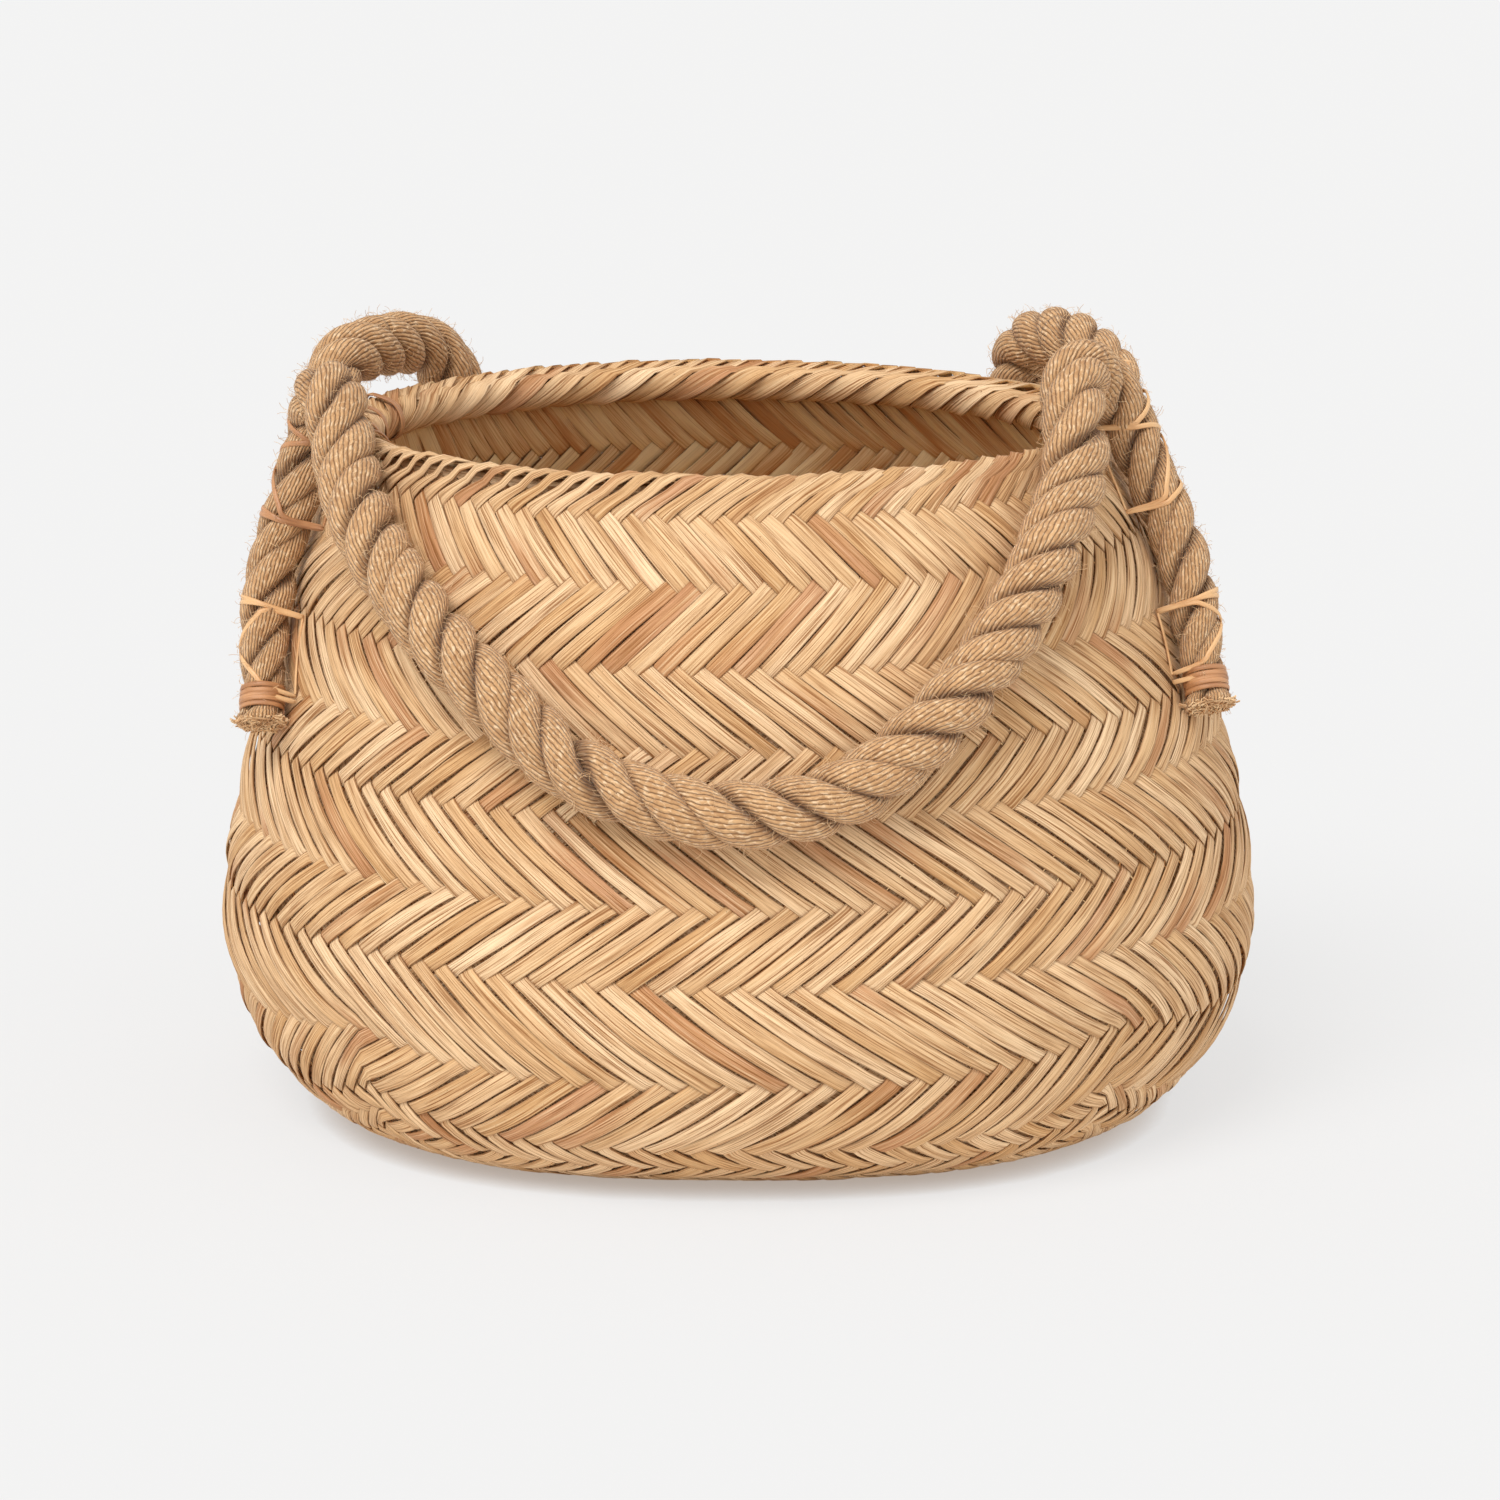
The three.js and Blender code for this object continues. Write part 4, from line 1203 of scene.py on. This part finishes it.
# A tie's way over the lip: radius, height, and how far its face points out and up.
tie_section = (
    (154.8, 280.8, 1.0, 0.3), (152.2, 284.6, 0.3, 1.0), (146.5, 283.8, -0.1, 1.0),
    (141.4, 281.4, -0.7, 0.7), (138.9, 276.5, -1.0, 0.0), (139.0, 271.0, -1.0, -0.2),
    (142.0, 266.8, -0.7, -0.7), (147.0, 265.6, 0.0, -1.0),
)
TIE_START = 277.0
WHIPPING_TURNS, WHIPPING_PITCH, WHIPPING_START = 5.2, 1.9, 5.4


def lacing(line, girth, passes, stitch, hand):
    """Passes of cane over the rope, each from a knot beside it to its far side, and a stitch."""
    lines = []
    for knot, far, copies in passes:
        for k in range(copies):
            near = wall_spot(line, girth, knot - 0.6 * k, hand)
            over = over_rope(line, girth, knot + 0.12 * (far - knot), far - 2.5 * k, -hand)
            lines.append(smooth_line([near, *over]))
    high, low = stitch
    lines.append(smooth_line([
        wall_spot(line, girth, high + (low - high) * share, hand, stand, beside)
        for share, stand, beside in long_stitch]))
    return lines


def rim_tie(line, girth):
    """Four hooks of cane, two at each side of the rope, over the lip and round the border."""
    lines = []
    for hand, beside in ((1, 0.8), (-1, 0.8), (1, 3.0), (-1, 3.0)):
        spot, spot_out = wall_spot(line, girth, TIE_START, hand, beside=beside)
        turn = math.atan2(spot[1], spot[0] - lean_at(TIE_START + 3)) + hand / RIM_RADIUS
        flat = around(turn, 1.0, 0.0)
        lines.append(smooth_line([(spot, spot_out), *(
            (around(turn, radius, up), [flat[0] * radial, flat[1] * radial, rise])
            for radius, up, radial, rise in tie_section)]))
    return lines


def spokes(tangent, angle):
    """Directions square to the end of a rope, at angles round it."""
    side = unit(np.cross(tangent, [0, 0, 1]))
    other = np.cross(tangent, side)
    return side * np.cos(angle)[:, None] + other * np.sin(angle)[:, None]


def whipping(start, inwards):
    """Cane wound round the rope near its cut end."""
    tangent = unit(inwards)
    angle = np.linspace(0, 2 * math.pi * WHIPPING_TURNS, int(WHIPPING_TURNS * 26))
    radial = spokes(tangent, angle)
    along = WHIPPING_START + WHIPPING_PITCH * angle / (2 * math.pi) + 0.3 * np.sin(angle * 0.7)
    reach = WHIPPED_GIRTH / 2 + 0.4 + 0.15 * np.cos(angle * 2.3 + 1)
    return start + tangent * along[:, None] + radial * reach[:, None], radial


near_hand = {("front", "left"): 1, ("front", "right"): -1, ("back", "left"): -1, ("back", "right"): 1}
# Passes as (height of the knot, height at the far side, copies), then a stitch's two ends.
lace_plan = {
    "left": {
        "upper": ([(279, 286, 1), (279, 271, 1), (245, 266, 1), (245, 249, 2)], (276, 246)),
        "lower": ([(211, 217, 2), (211, 197, 1), (181, 197, 1), (179, 184, 1)], (210, 182)),
    },
    "right": {
        "upper": ([(284, 292, 1), (284, 279, 1), (251, 277, 1), (251, 258, 1)], (282, 252)),
        "lower": ([(214, 220, 2), (214, 208, 1), (190, 208, 1), (187, 190, 1)], (213, 190)),
    },
}

cane_pieces = []
for (name, side_name), hand in near_hand.items():
    corner = name + "_" + side_name
    line, girth = ropes[name][0], rope_parts[name]["girth"]
    first_cut, last_cut = rope_parts[name]["cuts"]
    if side_name == "left":
        part, part_girth = line[:first_cut], girth[:first_cut]
    else:
        part, part_girth = line[last_cut:][::-1], girth[last_cut:][::-1]
    plan = lace_plan[side_name]
    upper = lacing(part, part_girth, *plan["upper"], hand)
    lower = lacing(part, part_girth, *plan["lower"], hand)
    upper_finish = orange_cane if side_name == "left" else pale_cane
    for label, lines, finish, width, node in (
        ("lacing_upper", upper, upper_finish, 2.2, "upper_lace"),
        ("lacing_lower", lower, pale_cane, 2.1, "lower_lace"),
        ("tie", rim_tie(part, part_girth), upper_finish, 2.2, "rim_tie"),
        ("winding", [whipping(part[0], part[6] - part[0])], orange_cane, 2.15, "whipping"),
    ):
        piece = cane_piece(corner + "_" + label, lines, finish, width)
        cane_pieces.append((piece, corner + "_" + node))
print(len(cane_pieces), "pieces of cane")

# %% [markdown]
# ## Jute
# Jute is dull, brown and hairy. The material counts yarns with the map made above:
# it rounds each yarn, darkens the grooves between them with painted shade, gives
# every yarn its own tone and lays fine fibres along it. Last, painted shade darkens
# the grooves between the three strands, by the depth that each corner keeps.

# %% Jute finish
jute, tree, shader = new_material("jute_yarn")
split = tree.add("ShaderNodeSeparateXYZ", {0: tree.add("ShaderNodeUVMap", {}, uv_map="yarns")})
plain_count, along = split, split.node.outputs[1]
count = tree.plus(plain_count, tree.times(tree.grain(plain_count, along, 0.35, 1.7, 0.0, 2.0), 0.9))
inside = tree.maths("SUBTRACT", tree.times(tree.maths("FRACT", count), 2.0), 1.0)
rounded = tree.maths("SUBTRACT", 1.0, tree.times(inside, inside))
yarn_tone = tree.grain(tree.maths("FLOOR", count), along, 0.73, 0.9, 2.0, 2.0, scale=1.7)
fibre = tree.grain(count, along, 2.4, 3.2, 5.0, 3.0)
fleck = tree.grain(count, along, 1.6, 2.8, 17.0, 2.0)
dirt = tree.grain(count, along, 0.2, 0.8, 29.0, 3.0)
tree.join(shader, {
    "Base Color": tree.coats(linear(184, 139, 95), [
        (yarn_tone, 0.3, 0.7, 0, 1, (216, 173, 126)),
        (dirt, 0.5, 0.75, 0, 0.35, (154, 110, 72)),
        (fibre, 0.5, 0.68, 0, 0.4, (150, 104, 66)),
        (fleck, 0.52, 0.68, 0, 0.7, (242, 214, 176)),
        # Painted shade: the grooves between yarns are darkened.
        (rounded, 0.0, 0.62, 0.85, 0, (98, 61, 35)),
        # Painted shade: the grooves between the three strands, where corners lie near the rope's
        # middle, are darkened.
        (tree.read("depth"), 0.7, 0.88, 0.62, 0, (104, 66, 40)),
    ]),
    "Roughness": 0.8,
    "Specular IOR Level": 0.2,
    "Sheen Weight": 0.12,
    "Sheen Roughness": 0.5,
    "Normal": tree.bump(tree.plus(tree.times(rounded, 0.7), tree.times(fleck, 0.6)), 0.0008, 1.0),
})

hair_finish, tree, shader = new_material("jute_hair")
place = tree.add("ShaderNodeTexCoord", {}, "Object")
tint = tree.add("ShaderNodeTexNoise", {"Vector": place, "Scale": 160.0, "Detail": 1.0}, "Fac")
tree.join(shader, {
    "Base Color": tree.coats(linear(200, 156, 112), [(tint, 0.35, 0.65, 0, 1, (236, 202, 158))]),
    "Roughness": 0.6,
    "Specular IOR Level": 0.3,
})
print(jute.name, "and", hair_finish.name)

# %% [markdown]
# ## Loose hairs
# Jute sheds. Single fibres stand off the rope everywhere and catch the light at its
# edges, and the cut ends open like a brush. One tree scatters short bent hairs on a
# surface. Each hair is a tube of three sides with few faces, because there are
# thousands of them.

# %% Node tree: loose hairs
hair_tree, tree, given = new_tree("Loose hairs", [
    ("Density", "Float", 30000.0),
    ("Hair length", "Float", 0.007),
    ("Hair thickness", "Float", 0.00014),
    ("Tilt", "Float", 1.2),
    ("Seed", "Int", 5),
    ("Finish", "Material", None),
])
scatter = tree.add("GeometryNodeDistributePointsOnFaces", {
    "Mesh": given["Geometry"], "Density": given["Density"], "Seed": given["Seed"],
}, "Points")
bent = tree.add("GeometryNodeCurveQuadraticBezier", {
    "Resolution": 3, "Start": (0, 0, -0.06), "Middle": (0.3, 0, 0.5), "End": (0.9, 0.12, 0.42),
})
section = tree.add("GeometryNodeCurvePrimitiveCircle", {
    "Resolution": 3, "Radius": tree.maths("DIVIDE", given["Hair thickness"], given["Hair length"]),
})
hair = tree.add("GeometryNodeCurveToMesh", {"Curve": bent, "Profile Curve": section, "Fill Caps": True})
tilt, minus_tilt = given["Tilt"], tree.times(given["Tilt"], -1.0)
lean = tree.chance({
    "Min": tree.triple(minus_tilt, minus_tilt, -3.14),
    "Max": tree.triple(tilt, tilt, 3.14),
    "Seed": given["Seed"],
}, "FLOAT_VECTOR")
turned = tree.add("FunctionNodeRotateRotation", {
    0: scatter.node.outputs["Rotation"], 1: tree.add("FunctionNodeEulerToRotation", {0: lean}),
}, rotation_space="LOCAL")
size = tree.chance({"Min": 0.35, "Max": 1.0, "Seed": tree.plus(given["Seed"], 1)})
hairs = tree.add("GeometryNodeInstanceOnPoints", {
    "Points": scatter, "Instance": hair, "Rotation": turned,
    "Scale": tree.times(size, given["Hair length"]),
})
finish_tree(tree, hairs, given["Finish"])
print("tree", hair_tree.name, "has", len(tree.nodes), "nodes")

# %% Hairs on the ropes and at their cut ends
BRUSH_ROUNDS, BRUSH_STEPS = 4, 18


def cut_end(name, line, girth):
    """A slightly domed patch at the cut end of a rope, facing out of it."""
    tangent = unit(line[0] - line[3])
    radial = spokes(tangent, 2 * math.pi * np.arange(BRUSH_STEPS) / BRUSH_STEPS)
    corners = [line[:1] - 0.2 * tangent]
    for share in np.arange(1, BRUSH_ROUNDS + 1) / BRUSH_ROUNDS:
        sunk = 0.2 + 1.8 * share**2
        corners.append(line[0] - sunk * tangent + 0.46 * girth[0] * share * radial)
    here = 1 + np.arange(BRUSH_ROUNDS * BRUSH_STEPS).reshape(BRUSH_ROUNDS, BRUSH_STEPS)
    onward = np.roll(here, -1, axis=1)
    faces = [(0, a, b) for a, b in zip(here[0], onward[0])]
    for a, b, c, d in zip(here[:-1].flat, onward[:-1].flat, here[1:].flat, onward[1:].flat):
        faces += [(a, c, d), (a, d, b)]
    return new_piece(name, np.vstack(corners), faces)


hair_pieces = {}
for name in ("front", "back"):
    parts = rope_parts[name]
    for k, key in enumerate(("left", "loop", "right")):
        parts[key].data.materials.append(jute)
        hair_pieces[name, key] = run_tree(
            placed(f"{name}_{key}_hairs", parts[key].data.copy()), hair_tree, density=90000.0,
            hair_length=0.0052, hair_thickness=0.0001, tilt=0.9, seed=5 + k, finish=hair_finish)
    line, girth = ropes[name][0], parts["girth"]
    for key, ends in (("left", (line, girth)), ("right", (line[::-1], girth[::-1]))):
        hair_pieces[name, key, "brush"] = run_tree(
            cut_end(f"{name}_{key}_brush", *ends), hair_tree, density=2600000.0,
            hair_length=0.0042, hair_thickness=0.00045, tilt=0.4, seed=9, finish=hair_finish)

# %% [markdown]
# ## What moves with what
# The wall, the border, the lacing and the brushes at the rope's cut ends are attached
# to the basket. The rope pieces and their hairs, laced ends and loops alike, keep
# their place with their transforms applied. The parts of the solid model that these
# pieces replace are hidden.

# %% Bodies and hidden parts
for piece in plaited:
    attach(piece, "basket")
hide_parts("plaited_body")
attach(core, "basket")
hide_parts("rolled_border")
for piece, node in cane_pieces:
    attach(piece, "basket")
    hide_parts(node)

for name in ("front", "back"):
    line, marks, knots = ropes[name]
    parts = rope_parts[name]
    for key in ("left", "right"):
        for piece in (parts[key], hair_pieces[name, key]):
            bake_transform(piece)
        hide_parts(f"{name}_{key}_rope_end", f"{name}_{key}_frayed_tip",
                    f"{name}_{key}_rope_bend")
        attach(hair_pieces[name, key, "brush"], "basket")
    for piece in (parts["loop"], hair_pieces[name, "loop"]):
        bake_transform(piece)
    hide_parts(name + "_handle_rope")

# %% Sizes and the last line
size = {
    "cad": [list(map(float, corner)) for corner in cad_box],
    "visual": [list(map(float, corner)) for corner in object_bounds()],
}
print(size)
